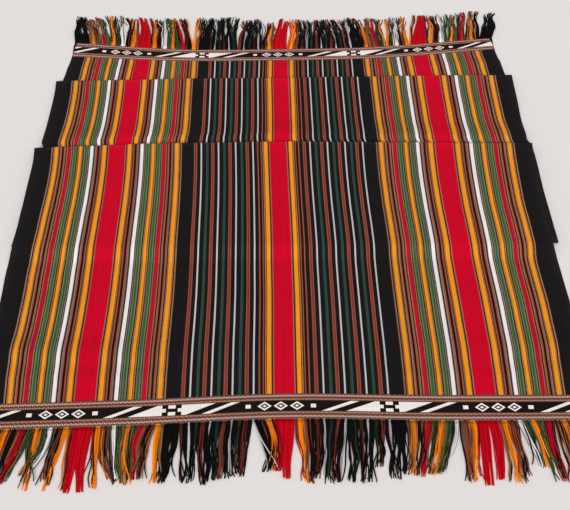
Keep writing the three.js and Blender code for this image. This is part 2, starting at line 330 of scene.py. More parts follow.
NEAR_TUFTS = (
    Tuft(-0.93, -0.009, 0.090, 0.85), Tuft(-0.82, -0.016, 0.090, 0.85), Tuft(-0.80, 0.0, 0.101, 0.85),
    Tuft(-0.75, -0.019, 0.078, 0.9), Tuft(-0.72, -0.005, 0.093, 0.8), Tuft(-0.70, -0.017, 0.106, 1.0),
    Tuft(-0.665, -0.001, 0.107, 0.7), Tuft(-0.63, 0.002, 0.107, 0.68), Tuft(-0.60, 0.006, 0.102, 1.0),
    Tuft(-0.55, 0.016, 0.090, 0.7), Tuft(-0.48, 0.003, 0.096, 0.78), Tuft(-0.42, -0.006, 0.089, 0.8),
    Tuft(-0.40, 0.004, 0.094, 0.67), Tuft(-0.345, -0.007, 0.097, 0.7), Tuft(-0.30, 0.004, 0.098, 0.8),
    Tuft(-0.285, -0.003, 0.080, 1.0), Tuft(-0.19, 0.001, 0.102, 0.77), Tuft(-0.11, -0.004, 0.095, 0.65),
    Tuft(-0.035, 0.013, 0.085, 0.5), Tuft(0.0, 0.0, 0.090, 0.75), Tuft(0.035, -0.005, 0.098, 0.7),
    Tuft(0.09, 0.008, 0.106, 0.68), Tuft(0.14, -0.003, 0.098, 0.8), Tuft(0.20, -0.007, 0.106, 0.55),
    Tuft(0.285, -0.005, 0.107, 0.72), Tuft(0.32, -0.005, 0.078, 0.6), Tuft(0.365, 0.002, 0.097, 0.4),
    Tuft(0.45, -0.006, 0.090, 0.7), Tuft(0.495, -0.018, 0.092, 0.7), Tuft(0.56, -0.025, 0.088, 0.6),
    Tuft(0.63, -0.007, 0.101, 0.65), Tuft(0.665, -0.004, 0.106, 0.8), Tuft(0.70, -0.003, 0.100, 0.85),
    Tuft(0.755, 0.006, 0.104, 0.75), Tuft(0.82, 0.013, 0.078, 0.65), Tuft(0.87, 0.008, 0.101, 0.73),
    Tuft(1.0, 0.002, 0.107, 0.85),
)


class Fringe(NamedTuple):
    """Loose warp at one end. `disorder` scales what its locks and strands differ by."""

    name: str
    end: Line
    band_edge: Line
    away: int
    tufts: tuple
    disorder: float
    seed: int


FRINGES = (
    Fringe("far_fringe", FAR_END, FAR_ROOT, 1, FAR_TUFTS, 1.3, 7),
    Fringe("near_fringe", NEAR_END, NEAR_BAND_OUTER, -1, NEAR_TUFTS, 1.0, 19),
)


class Band(NamedTuple):
    """A band across one end: its edges, its width, the place of one cross and the length of a repeat."""

    name: str
    near_edge: Line
    far_edge: Line
    width: float
    cross: float
    repeat: float


FAR_REPEAT = 0.3364
NEAR_REPEAT = 0.3476
BANDS = (
    Band("far_band", FAR_BAND_INNER, FAR_BAND_OUTER, FAR_BAND_WIDTH, -0.184, FAR_REPEAT),
    Band("near_band", NEAR_BAND_OUTER, NEAR_BAND_INNER, NEAR_BAND_WIDTH, -0.1805, NEAR_REPEAT),
)


class Cord(NamedTuple):
    """A cord along the edge of a band: its share of the band's width, its height and rise, the points
    of its section, its yarn, and the second yarn with its share of each stitch.
    """

    start: float
    stop: float
    height: float
    rise: float
    points: int
    yarn: str
    second: str
    second_share: float


BAND_CORDS = (
    Cord(0.0, 0.062, 0.00045, 0.00030, 3, "edge", "twine_dark", 0.4),
    Cord(0.062, 0.130, 0.00055, 0.00070, 5, "twine_light", "cord_dark", 0.42),
    Cord(0.130, 0.212, 0.00050, 0.0, 3, "twine_dark", "cord_dark", 0.4),
    Cord(0.212, 0.262, 0.00055, 0.00040, 3, "cord", "cord_dark", 0.3),
)
BAND_RIM_SHARE = 0.5
BAND_FIELD = 0.298
BAND_FIELD_POINTS = 6
BAND_FIELD_HEIGHT = 0.00075

# Stitches of the twined cords: in one turn of the twine, and across the band, with their relief
TURN_STITCHES = 2.0
STITCHES_ACROSS = 9.0
STITCH_RELIEF = 0.22


def colour(name, description, red, green, blue):
    """A colour setting, written as it looks on a screen, from 0 to 255."""
    return bpy.props.FloatVectorProperty(
        name=name, description=description, subtype="COLOR_GAMMA", size=3, min=0.0, max=1.0,
        default=(red / 255, green / 255, blue / 255),
    )


def length(name, description, metres):
    return bpy.props.FloatProperty(
        name=name, description=description, default=metres, unit="LENGTH", precision=5
    )


def angle(name, description, degrees):
    return bpy.props.FloatProperty(
        name=name, description=description, default=math.radians(degrees), subtype="ANGLE"
    )


def factor(name, description, share):
    return bpy.props.FloatProperty(
        name=name, description=description, default=share, min=0.0, max=1.0, subtype="FACTOR"
    )


def number(name, description, value, least=0.0):
    return bpy.props.FloatProperty(name=name, description=description, default=value, min=least)


def count_of(name, description, value, least):
    return bpy.props.IntProperty(name=name, description=description, default=value, min=least)


class YarnColours(bpy.types.PropertyGroup):
    """Colours of the warp yarns."""

    black: colour("Black", "Borders, broad bands and the ground of the narrow stripes", 25, 22, 24)
    red: colour("Red", "Broad stripes", 201, 4, 38)
    pink: colour("Pink", "Fine line at each side of the red", 178, 88, 76)
    crimson: colour("Crimson", "Narrow red stripes", 190, 12, 42)
    orange: colour("Orange", "Orange stripes", 246, 148, 18)
    green: colour("Green", "Green stripes in the side groups", 50, 92, 50)
    bottle: colour("Bottle green", "Green lines of the narrow stripes", 44, 70, 56)
    white: colour("White", "White stripes in the side groups", 234, 229, 229)
    pale: colour("Pale grey", "White lines of the narrow stripes", 192, 189, 190)
    rust: colour("Rust", "Rust brown lines", 152, 82, 63)
    umber: colour("Umber", "Dark lines between rust", 40, 15, 7)
    olive: colour("Olive", "Light lines beside green", 112, 120, 88)
    maroon: colour("Maroon", "Middle of the rust lines", 128, 52, 38)
    brown_fleck: colour("Brown fleck", "Light dashes beside orange and red", 176, 132, 98)
    grey_fleck: colour("Grey fleck", "Light dashes beside white", 156, 140, 132)
    fleck_ground: colour("Fleck ground", "Dark dashes between the light ones", 52, 28, 16)


class ClothSettings(bpy.types.PropertyGroup):
    """The woven cloth."""

    flat_width: length("Flat width", "Width of the cloth off the loom", 1.0)
    thickness: length("Thickness", "Thickness of the cloth", 0.0012)
    columns: count_of("Columns", "Steps of the mesh across the cloth", 110, 20)
    ripple: length("Ripple", "Height of the shallow ripples that are left in the cloth", 0.0007)
    fold_wobble: length("Fold wobble", "How far a fold wanders from its line", 0.0012)
    pick: length("Pick", "Length of two weft picks", 0.0024)
    dash: length("Dash", "Length of a light or dull dash in the flecked stripes", 0.0030)
    fleck_ends: number("Fleck ends", "Warp ends in one column of dashes", 2.0, 0.5)


class BandSettings(bpy.types.PropertyGroup):
    """The patterned bands across both ends."""

    step: length("Step", "Step of the mesh along the band", 0.0010)
    repeat: length("Repeat", "Length of one repeat of the pattern", NEAR_REPEAT)
    slant: length("Slant", "How far a slanted edge moves from the middle to the edge of the field", 0.0235)
    white_half: length("White half", "Half of the white field round a cross", 0.046)
    black_stop: length("Black stripe stop", "End of the black stripe beside the white field", 0.071)
    line_stop: length("White line stop", "End of the white line beside the black stripe", 0.0850)
    cross_half: length("Cross half", "Half of the length of a cross", 0.0154)
    cross_middle: length("Cross middle", "Half of the length of a cross in its middle row", 0.0094)
    cross_gap: length("Cross gap", "Half of the white gap in its outer rows", 0.0058)
    dot_place: length("Dot place", "Way from a cross to the white dot", 0.1216)
    dot_half: length("Dot half", "Half of the length of a dot", 0.0042)
    lozenge_half: length("Lozenge half", "Half of the length of a lozenge", 0.0115)
    lozenge_pitch: length("Lozenge pitch", "Way from lozenge to lozenge", 0.026)
    twine: length("Twine", "Length of one turn of the twined edge cords", 0.0074)
    wave: factor("Wave", "How far the twined cords wave, as a share of the band's width", 0.014)
    ground: colour("Ground", "Dark ground of the pattern", 25, 18, 17)
    figure: colour("Figure", "White of the pattern", 250, 241, 236)
    twine_light: colour("Light twine", "Pink yarn of the twined cords", 216, 178, 172)
    twine_dark: colour("Dark twine", "Dark yarn of the twined cords", 86, 56, 46)
    edge: colour("Edge", "Grey green yarn along the outside", 106, 94, 78)
    cord: colour("Cord", "Rust cord beside the pattern", 190, 134, 112)
    cord_dark: colour("Dark cord", "Darker turns of the rust cord", 118, 72, 58)


class FringeSettings(bpy.types.PropertyGroup):
    """The loose warp at both ends."""

    yarn_radius: length("Yarn radius", "Radius of one yarn", 0.00098)
    yarns_per_end: number("Yarns per end", "Yarns drawn for each warp end", 1.7, 0.3)
    strand_yarns: count_of("Strand yarns", "Yarns that cling together in one strand", 2, 1)
    steps: count_of("Steps", "Steps along one yarn", 14, 4)
    lock_ends: number("Lock ends", "Warp ends that hang together in one lock", 5.5, 2.0)
    mixing: number("Mixing", "Warp ends by which the strands of a mixed lock change places", 2.6)
    bend: length("Bend", "How far a tuft bends to one side on its way", 0.0025)
    lock_lean: length("Lock lean", "How far a lock leaves the lean of its tuft", 0.0022)
    strand_lean: length("Strand lean", "How far a strand leaves the lean of its lock", 0.0024)
    wave: length("Wave", "Sideways waves of a lock", 0.0042)
    strand_wave: length("Strand wave", "Sideways waves of a strand", 0.0026)
    pile: length("Pile", "Height of the strands that lie over each other in a lock", 0.0030)
    strays: factor("Strays", "Share of the strands that leave their lock", 0.06)
    stray_lean: length("Stray lean", "How far a stray strand leaves its lock", 0.010)
    ply: length("Ply", "Length of one turn of the yarn's twist", 0.0032)


class StageSettings(bpy.types.PropertyGroup):
    """Floor, light and camera."""

    camera_height: length("Camera height", "Height of the camera over the floor", 1.293)
    camera_back: length("Camera back", "Way from the camera to the middle of the cloth along Y", 1.222)
    camera_drop: angle("Camera drop", "Angle at which the camera looks down", 50)
    lens: number("Lens", "Focal length in millimetres", 58.55, 10.0)
    floor: colour("Floor", "Pale floor", 229, 224, 221)
    sky: number("Sky", "Strength of the even light from all round", 0.62)
    window: number("Window", "Strength of the soft light from the near side", 2.1)
    window_height: angle("Window height", "Angle of the soft light over the floor", 33)
    window_turn: angle("Window turn", "Turn of the soft light to the left", -8)
    window_spread: angle("Window spread", "Width of the soft light as an angle", 20)


class WrapperSettings(bpy.types.PropertyGroup):
    """All settings of the wrapper."""

    yarns: bpy.props.PointerProperty(type=YarnColours)
    cloth: bpy.props.PointerProperty(type=ClothSettings)
    band: bpy.props.PointerProperty(type=BandSettings)
    fringe: bpy.props.PointerProperty(type=FringeSettings)
    stage: bpy.props.PointerProperty(type=StageSettings)


def settings():
    return bpy.context.scene.folded_wrapper


def frame_shift():
    """Way from the lines above to the frame, in which the middle of everything is the origin."""
    low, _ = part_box("near_band")
    return np.array([low.x - NEAR_BAND_INNER.x[0], low.y - NEAR_BAND_OUTER.y[0], 0.0])


# Curves and meshes


def smooth(share):
    share = np.clip(share, 0.0, 1.0)
    return share * share * (3.0 - 2.0 * share)


def hump(share):
    """1 at 0, falling softly to 0 at -1 and 1."""
    return np.clip(1.0 - share * share, 0.0, 1.0) ** 2


def curve_through(keys, values, at):
    """A smooth curve through values, whose first axis follows the rising keys."""
    keys = np.asarray(keys, float)
    values = np.asarray(values, float)
    at = np.asarray(at, float)
    order = np.arange(len(keys))
    before = np.maximum(order - 1, 0)
    after = np.minimum(order + 1, len(keys) - 1)
    slopes = ((values[after] - values[before]).T / (keys[after] - keys[before])).T
    i = np.clip(np.searchsorted(keys, at) - 1, 0, len(keys) - 2)
    span = keys[i + 1] - keys[i]
    t = (at - keys[i]) / span
    rise = (values[i + 1] - values[i]).T
    bend_in = slopes[i].T * span - rise
    bend_out = rise - slopes[i + 1].T * span
    return (values[i].T + rise * t + t * (1 - t) * (bend_in * (1 - t) + bend_out * t)).T


def place_across(line, across):
    return curve_through(FIVE_ACROSS, line.x, across), curve_through(FIVE_ACROSS, line.y, across)


def linked(name, data):
    """A new object in the scene."""
    made = bpy.data.objects.new(name, data)
    bpy.context.scene.collection.objects.link(made)
    return made


def mesh_object(name, points, faces, **attributes):
    mesh = bpy.data.meshes.new(name)
    mesh.from_pydata(points + frame_shift(), [], faces)
    for key, values in attributes.items():
        layer = mesh.attributes.new(key, "FLOAT", "POINT")
        layer.data.foreach_set("value", np.ascontiguousarray(values, np.float32).ravel())
    mesh.shade_smooth()
    return linked(name, mesh)


def add_map(piece, name, corners):
    """A UV map from one place for each corner of each face."""
    layer = piece.data.uv_layers.new(name=name, do_init=False)
    layer.uv.foreach_set("vector", np.ascontiguousarray(corners, np.float32).ravel())


def sheet_faces(rows, columns):
    """Faces of a closed sheet of two grids of points, the upper one first.

    Also gives, for each face, the points of the upper grid whose places on the map it takes, so
    that the narrow rim shows the colours beside it.
    """
    cell = (np.arange(rows - 1)[:, None] * columns + np.arange(columns - 1)).ravel()
    upper = np.stack([cell, cell + columns, cell + columns + 1, cell + 1], 1)
    under = upper[:, ::-1] + rows * columns
    first_row = np.arange(columns - 1)
    last_row = first_row + (rows - 1) * columns
    left = np.arange(rows - 1) * columns
    right = left + columns - 1
    rims = (
        (first_row, first_row + 1, columns),
        (last_row + 1, last_row, -columns),
        (left + columns, left, 1),
        (right, right + columns, -1),
    )
    faces = [upper, under]
    on_map = [upper, upper[:, ::-1]]
    for a, b, inwards in rims:
        faces.append(np.stack([a, b, b + rows * columns, a + rows * columns], 1))
        on_map.append(np.stack([a, b, b + inwards, a + inwards], 1))
    return np.concatenate(faces), np.concatenate(on_map)


def twice(values):
    """Values of a grid's points, for the upper and the under side."""
    return np.concatenate([values.ravel(), values.ravel()])


# The folded cloth


class Rows(NamedTuple):
    """Lines across the middle of the cloth's thickness, with their flap and the way to the next fold."""

    x: np.ndarray
    y: np.ndarray
    z: np.ndarray
    flap: np.ndarray
    to_fold: np.ndarray
    fold: np.ndarray
    pull: np.ndarray


def layer_height(layer):
    return CLOTH_HALF + layer * LAYER_PITCH


def puff_of(station):
    return FOLD_PUFF if station.fold > 0 else 0.0


def fold_radius(station):
    return (LAYER_PITCH + puff_of(station)) / 2


def flaps_of_cloth():
    """The stations that each stretch between two folds passes."""
    flaps = [[]]
    for station in STATIONS:
        flaps[-1].append(station)
        if station.fold:
            flaps.append([station])
    return flaps


def row_places(stations, keys):
    """Places along one flap where its mesh has a row."""
    start = 0.0
    places = [np.zeros(1)]
    if puff_of(stations[0]):
        start = FOLD_PUFF_REACH
        places.append(np.linspace(0.0, start, FOLD_PUFF_STEPS + 1)[1:])
    for station, stop in zip(stations, keys[1:]):
        count = math.ceil((stop - start) / station.step)
        places.append(np.linspace(start, stop, count + 1)[1:])
        start = stop
    return np.concatenate(places)


def flap_rows(stations, flap):
    first = stations[0]
    inset = np.array([s.fold * (fold_radius(s) + CLOTH_HALF) for s in stations])
    x = np.array([s.line.x for s in stations])
    y = np.array([s.line.y for s in stations]) - inset[:, None]
    z = np.array([layer_height(s.layer + (s is first and s.fold != 0)) for s in stations])
    keys = np.append(0.0, np.cumsum(np.abs(np.diff(y[:, 2]))))
    at = row_places(stations, keys)
    i = np.clip(np.searchsorted(keys, at, side="right") - 1, 0, len(keys) - 2)
    ease = smooth((at - keys[i]) / (keys[i + 1] - keys[i]))
    height = z[i] + (z[i + 1] - z[i]) * ease
    height = height + puff_of(first) * (1.0 - smooth(at / FOLD_PUFF_REACH))
    from_start = at if first.fold else np.full_like(at, np.inf)
    from_end = keys[-1] - at if stations[-1].fold else np.full_like(at, np.inf)
    return Rows(
        curve_through(keys, x, at),
        curve_through(keys, y, at),
        height,
        np.full(len(at), flap),
        np.minimum(from_start, from_end),
        np.where(from_start < from_end, flap - 1, flap),
        curve_through(keys, [s.pull for s in stations], at),
    )


def fold_rows(station, flap):
    radius = fold_radius(station)
    turn = np.pi * np.arange(1, FOLD_ARC_STEPS) / FOLD_ARC_STEPS
    out = station.fold * (radius * np.sin(turn) - radius - CLOTH_HALF)
    return Rows(
        np.tile(station.line.x, (len(turn), 1)),
        np.array(station.line.y) + out[:, None],
        layer_height(station.layer) + radius * (1.0 - np.cos(turn)),
        np.full(len(turn), flap),
        np.zeros(len(turn)),
        np.full(len(turn), flap),
        np.tile(station.pull, (len(turn), 1)),
    )


def cloth_rows():
    parts = []
    for flap, stations in enumerate(flaps_of_cloth()):
        parts.append(flap_rows(stations, flap))
        if stations[-1].fold:
            parts.append(fold_rows(stations[-1], flap))
    return Rows(*(np.concatenate(column) for column in zip(*parts)))


def waves(across, number):
    """A few waves across the cloth, another set for each number, between -1 and 1."""
    chance = np.random.default_rng(number)
    total = np.zeros_like(across)
    for turns, share in WANDER_WAVES:
        total += share * np.sin(np.pi * turns * across + chance.uniform(0.0, 2.0 * np.pi))
    return total


def past(line, y, across, reach):
    """0 up to a line, then rising to 1 over a reach to its far side, or to its near side if below 0."""
    return smooth((y - curve_through(FIVE_ACROSS, line.y, across)) / reach)


def shown_share(rows, y, across):
    """1 where a flap shows and lies free, 0 where it is covered or held by a band."""
    back = past(FAR_FOLD_1, y, across, FOLD_COVER) * past(FAR_BAND_INNER, y, across, -BAND_HOLD)
    middle = past(FAR_FOLD_2, y, across, FOLD_COVER)
    top = past(NEAR_BAND_INNER, y, across, BAND_HOLD)
    flap = rows.flap[:, None]
    return np.select([flap == BACK_FLAP, flap == MIDDLE_FLAP, flap == TOP_FLAP], [back, middle, top], 0.0)


def ripples(y, across):
    """Shallow ripples all over the cloth, as shares of their height."""
    total = np.zeros_like(y)
    for ripple in RIPPLES:
        wander = ripple.wander * np.sin(ripple.wander_across * across + ripple.wander_start)
        slant = ripple.slant_across * across + ripple.slant_along * y + ripple.slant_start
        total += ripple.share * np.sin(ripple.along * y + wander) * np.sin(slant)
    return RIPPLE_MIDDLE + RIPPLE_SWING * total


def relief(rows, y, across, ripple_height):
    """Height that creases and shallow ripples add to the flaps that show."""
    total = ripple_height * ripples(y, across)
    for crease in CREASES:
        away = y - curve_through(FIVE_ACROSS, crease.y, across)
        share = np.where(away > 0.0, away / crease.far, away / crease.near)
        height = curve_through(FIVE_ACROSS, crease.height, across)
        total += np.where(rows.flap[:, None] == crease.flap, height * hump(share), 0.0)
    return total


def pulled_share(across):
    """How much of the pull at the left and at the right border the stripes at these places follow."""
    inner = 1.0 - 2.0 * BORDER_ENDS / WARP_ENDS
    out = np.stack([-across, across])
    return smooth((1.0 - out) / (1.0 - inner)) * smooth((out - PULL_START) / (inner - PULL_START))


def cloth_middle(cloth):
    """The middle of the cloth's thickness as a grid of points, and its rows and places across."""
    rows = cloth_rows()
    across = np.linspace(-1.0, 1.0, cloth.columns + 1)
    x = curve_through(FIVE_ACROSS, rows.x.T, across).T + rows.pull @ pulled_share(across)
    y = curve_through(FIVE_ACROSS, rows.y.T, across).T
    near_fold = np.exp(-((rows.to_fold / FOLD_WANDER_REACH) ** 2))
    wander = np.array([waves(across, number) for number in range(TOP_FLAP)])
    wander = np.vstack([wander, np.zeros_like(across)])
    y = y + cloth.fold_wobble * near_fold[:, None] * wander[np.clip(rows.fold, 0, TOP_FLAP)]
    edge = across[None, :] ** EDGE_WAVE_POWER
    turn = EDGE_WAVE_RATE * y + EDGE_WAVE_TURN * np.sign(edge) + rows.flap[:, None]
    x = x + EDGE_WAVE * edge * np.sin(turn)
    z = rows.z[:, None] + shown_share(rows, y, across) * relief(rows, y, across, cloth.ripple)
    return np.stack([x, y, z], -1), rows, across


def normals_of(grid):
    normals = np.cross(np.gradient(grid, axis=0), np.gradient(grid, axis=1))
    return normals / np.linalg.norm(normals, axis=-1, keepdims=True)


def build_cloth(cloth):
    grid, rows, across = cloth_middle(cloth)
    half = normals_of(grid) * cloth.thickness / 2
    points = np.concatenate([(grid + half).reshape(-1, 3), (grid - half).reshape(-1, 3)])
    faces, on_map = sheet_faces(*grid.shape[:2])
    middle = grid[:, grid.shape[1] // 2]
    along = np.append(0.0, np.cumsum(np.linalg.norm(np.diff(middle, axis=0), axis=1)))
    along_grid = np.broadcast_to(along[:, None], grid.shape[:2])
    share = np.broadcast_to((across + 1.0) / 2.0, grid.shape[:2])
    fold_wear = np.exp(-((rows.to_fold / FOLD_RUB_REACH) ** 2))
    wear = np.maximum(fold_wear[:, None], np.abs(across) ** EDGE_RUB_POWER)
    made = mesh_object(
        "striped_cloth", points, faces,
        warp=twice(share * WARP_ENDS), along=twice(along_grid), wear=twice(wear),
    )
    made.data.set_sharp_from_angle(angle=CLOTH_SHARP)
    places = np.stack([share, along_grid / along[-1]], -1).reshape(-1, 2)
    add_map(made, BAKE_MAP, places[on_map])
    return made, float(along[-1])


# The bands


def band_profile():
    """Places across a band, from its near edge to its far edge, with height and share of twine."""
    near = []
    for cord in BAND_CORDS:
        for share in (np.arange(cord.points) + 0.5) / cord.points:
            place = cord.start + (cord.stop - cord.start) * share
            near.append((place, cord.height + cord.rise * math.sin(math.pi * share), cord.rise))
    near.insert(0, (0.0, BAND_CORDS[0].height * BAND_RIM_SHARE, 0.0))
    field = np.linspace(BAND_FIELD, 1.0 - BAND_FIELD, BAND_FIELD_POINTS)
    middle = [(place, BAND_FIELD_HEIGHT, 0.0) for place in field]
    far = [(1.0 - place, height, twine) for place, height, twine in reversed(near)]
    return np.array([*near, *middle, *far])


def build_band(band, look, bottom):
    """A band from its near edge to its far edge, with twined cords along both edges."""
    profile = band_profile()[::-1]
    width = band.near_edge.x[-1] - band.near_edge.x[0]
    across = np.linspace(-1.0, 1.0, round(width / look.step) + 1)
    near = np.stack(place_across(band.near_edge, across), -1)
    far = np.stack(place_across(band.far_edge, across), -1)
    place, height, twine = (profile[:, i, None] for i in range(3))
    flat = near + (far - near) * place[:, :, None]
    along = (flat[..., 0] - band.cross) * look.repeat / band.repeat
    stitches = TURN_STITCHES * along / look.twine + STITCHES_ACROSS * place
    top = bottom + height + STITCH_RELIEF * twine * np.sin(2.0 * np.pi * stitches)
    upper = np.dstack([flat, top])
    under = np.dstack([flat, np.full_like(top, bottom)])
    faces, on_map = sheet_faces(*top.shape)
    points = np.concatenate([upper.reshape(-1, 3), under.reshape(-1, 3)])
    places = np.broadcast_to(place, top.shape)
    made = mesh_object(
        band.name + "_pattern", points, faces, band_along=twice(along), band_across=twice(places)
    )
    made.data.set_sharp_from_angle(angle=BAND_SHARP)
    share = np.broadcast_to((across + 1.0) / 2.0, top.shape)
    add_map(made, BAKE_MAP, np.stack([share, places], -1).reshape(-1, 2)[on_map])
    return made


# The fringes


class Lock(NamedTuple):
    """Neighbouring warp ends that hang together, with the yarn of their stripe, or none if mixed."""

    yarn: str
    start: float
    stop: float


class Sweep(NamedTuple):
    """How a tuft lies: its middle at the root, and the length, lean and bend of its locks.

    `draw` is the share of its width that is left at the tips, and `lock_draw` the same in each lock.
    """

    middle: float
    reach: float
    lean: float
    bend: float
    draw: float
    lock_draw: float


class Strands(NamedTuple):
    """Strands of one lock: the strand of each yarn, the shape of one value for each strand, the places
    along a yarn from 0 to 1, and how loosely the lock is held.
    """

    of_yarn: np.ndarray
    each: tuple
    t: np.ndarray
    mess: float


class Yarns(NamedTuple):
    """Middle lines of yarns, shaped (yarns, steps + 1, 3), their radii and the warp end of each."""

    path: np.ndarray
    radius: np.ndarray
    end: np.ndarray


LOCK_COLOURS = ("orange", "white", "crimson", "red", "green", "black", "pale")
SMALLEST_OWN_LOCK = 2.5
BROAD_YARN = "red"
BROAD_LOCK_ENDS = 15
HELD_TOGETHER = {"red": 0.3, "orange": 0.55, "white": 0.55, "crimson": 0.55, "pale": 0.4}
ROOT_HEIGHT = 0.0012
LOCK_DRAWS = (0.85, 1.1)

# Shares of the way along a yarn where it draws in, is up on its pile or lock, is down, swells and tapers
DRAW_START = 0.3
PILE_RISE = 1 / 5
LOCK_RISE = 1 / 3
ROOT_SINK = 1 / 4
ROOT_SWELL = 1 / 6
TIP_START = 0.85

# Shares of length, height and radius by which yarns differ or change on their way
LOCK_SHORTER = 0.06
STRAND_SHORTER = 0.12
PILE_AT_ROOT = 1.1
PILE_LOST = 0.5
LOCK_RISE_LOST = 0.6
TWIST_RISE = 0.4
ROOT_RADIUS = 0.6
TIP_RADIUS_LOST = 0.3
RADIUS_RANGE = (0.8, 1.15)

# Lean that grows along a yarn, its waves and their turns, twist of a lock, and arches of the strands
LEAN_POWER = 1.25
WAVE_RANGE = (0.15, 1.0)
STRAND_TURNS = (1.0, 2.4)
LOCK_TURNS = (0.7, 1.5)
LOCK_TWIST = 0.7
STRAY_ARCH = 0.0025
STRAND_ARCH = 0.0006

# Stretch of the stripes' dashes from which each yarn takes its own place
DASH_STRETCH = 3.0


def lock_plan(lock_ends):
    """Locks across the cloth: stripes of one colour keep together, and thin lines hang in mixed locks."""
    locks = []
    start = at = 0.0
    for yarn, ends in WARP_ORDER:
        own = yarn in LOCK_COLOURS and ends >= SMALLEST_OWN_LOCK
        if (own or at - start >= lock_ends) and at > start:
            locks.append(Lock("", start, at))
            start = at
        at += ends
        if own:
            size = BROAD_LOCK_ENDS if yarn == BROAD_YARN else lock_ends
            cuts = np.linspace(start, at, max(1, round(ends / size)) + 1)
            locks.extend(Lock(yarn, a, b) for a, b in zip(cuts, cuts[1:]))
            start = at
    return joined_locks(locks)


def joined_locks(locks):
    """Neighbours of the broad yarn, which the chart gives in two halves, as equal locks."""
    joined = []
    for lock in locks:
        if joined and lock.yarn == BROAD_YARN == joined[-1].yarn:
            start = joined.pop().start
            middle = (start + lock.stop) / 2
            joined.extend((Lock(BROAD_YARN, start, middle), Lock(BROAD_YARN, middle, lock.stop)))
        else:
            joined.append(lock)
    return joined


def locks_of_tufts(fringe, lock_ends):
    """Each tuft with the locks whose middle lies in it."""
    stops = [tuft.stop for tuft in fringe.tufts]
    locks = [[] for _ in stops]
    for lock in lock_plan(lock_ends):
        across = (lock.start + lock.stop) / WARP_ENDS - 1.0
        locks[np.searchsorted(stops, across)].append(lock)
    return [(tuft, held) for tuft, held in zip(fringe.tufts, locks) if held]


def sweep_of(tuft, locks, fringe, look, chance):
    middle, _ = place_across(fringe.band_edge, (locks[0].start + locks[-1].stop) / WARP_ENDS - 1.0)
    bend = look.bend * fringe.disorder * chance.standard_normal()
    lock_draw = tuft.draw * chance.uniform(*LOCK_DRAWS)
    return Sweep(middle, tuft.reach, tuft.lean, bend, tuft.draw, lock_draw)


def wavy(t, size, turns, shape, chance):
    """Sideways waves that grow along the yarns, of random size, number and place."""
    size = chance.uniform(*WAVE_RANGE, shape) * size * t
    return size * np.sin(2.0 * np.pi * (chance.uniform(*turns, shape) * t + chance.random(shape)))


def strands_of(lock, count, fringe, look):
    of_yarn = np.arange(count) // look.strand_yarns
    t = np.linspace(0.0, 1.0, look.steps + 1)[None, :]
    return Strands(of_yarn, (of_yarn[-1] + 1, 1), t, fringe.disorder * HELD_TOGETHER.get(lock.yarn, 1.0))


def lean_of_yarns(sweep, strands, look, chance):
    """Sideways way of each yarn by the lean of its tuft, lock and strand, and which strands stray."""
    t = strands.t
    stray = chance.random(strands.each) < look.strays * strands.mess
    drift = chance.standard_normal(strands.each)
    drift = drift * np.where(stray, look.stray_lean, look.strand_lean * strands.mess)
    lean = sweep.lean + look.lock_lean * strands.mess * chance.standard_normal()
    bend = sweep.bend * np.sin(np.pi * t)
    return lean * t**LEAN_POWER + bend + drift[strands.of_yarn] * t**2, stray


def reach_of_yarns(sweep, strands, chance):
    """Length of each yarn, a little shorter in some locks and strands."""
    reach = sweep.reach * (1.0 - LOCK_SHORTER * chance.random() ** 2)
    shorter = 1.0 - STRAND_SHORTER * strands.mess * chance.random(strands.each) ** 2
    return (reach * shorter + HEADING_MIDDLE - YARN_ROOT)[strands.of_yarn]


def sway_of_yarns(strands, look, chance):
    """Sideways waves of the strands and of the whole lock."""
    sway = wavy(strands.t, look.strand_wave * strands.mess, STRAND_TURNS, strands.each, chance)
    return sway[strands.of_yarn] + wavy(strands.t, look.wave * strands.mess, LOCK_TURNS, 1, chance)


def pile_of_yarns(strands, look, chance):
    """Height of the strands that lie on others of their lock."""
    t = strands.t
    height = look.pile * strands.mess * chance.random(strands.each)
    return (height * smooth(t / PILE_RISE) * (PILE_AT_ROOT - PILE_LOST * t))[strands.of_yarn]


def rise_of_yarns(stray, strands, look, chance):
    """Height of a lock that lies on its neighbours, with the low arches of its strands."""
    t = strands.t
    over = look.pile * chance.random() * smooth(t / LOCK_RISE) * (1.0 - LOCK_RISE_LOST * t)
    arch = np.where(stray, STRAY_ARCH, STRAND_ARCH) * chance.random(strands.each) * np.sin(np.pi * t)
    return over + arch[strands.of_yarn]


def radius_of_yarns(strands, look, chance):
    """Radius along each yarn, thinner at the root and at the tip."""
    t = strands.t
    radius = look.yarn_radius * chance.uniform(*RADIUS_RANGE, (len(strands.of_yarn), 1))
    at_tip = 1.0 - TIP_RADIUS_LOST * smooth((t - TIP_START) / (1.0 - TIP_START))
    return radius * at_tip * (ROOT_RADIUS + (1.0 - ROOT_RADIUS) * smooth(t / ROOT_SWELL))


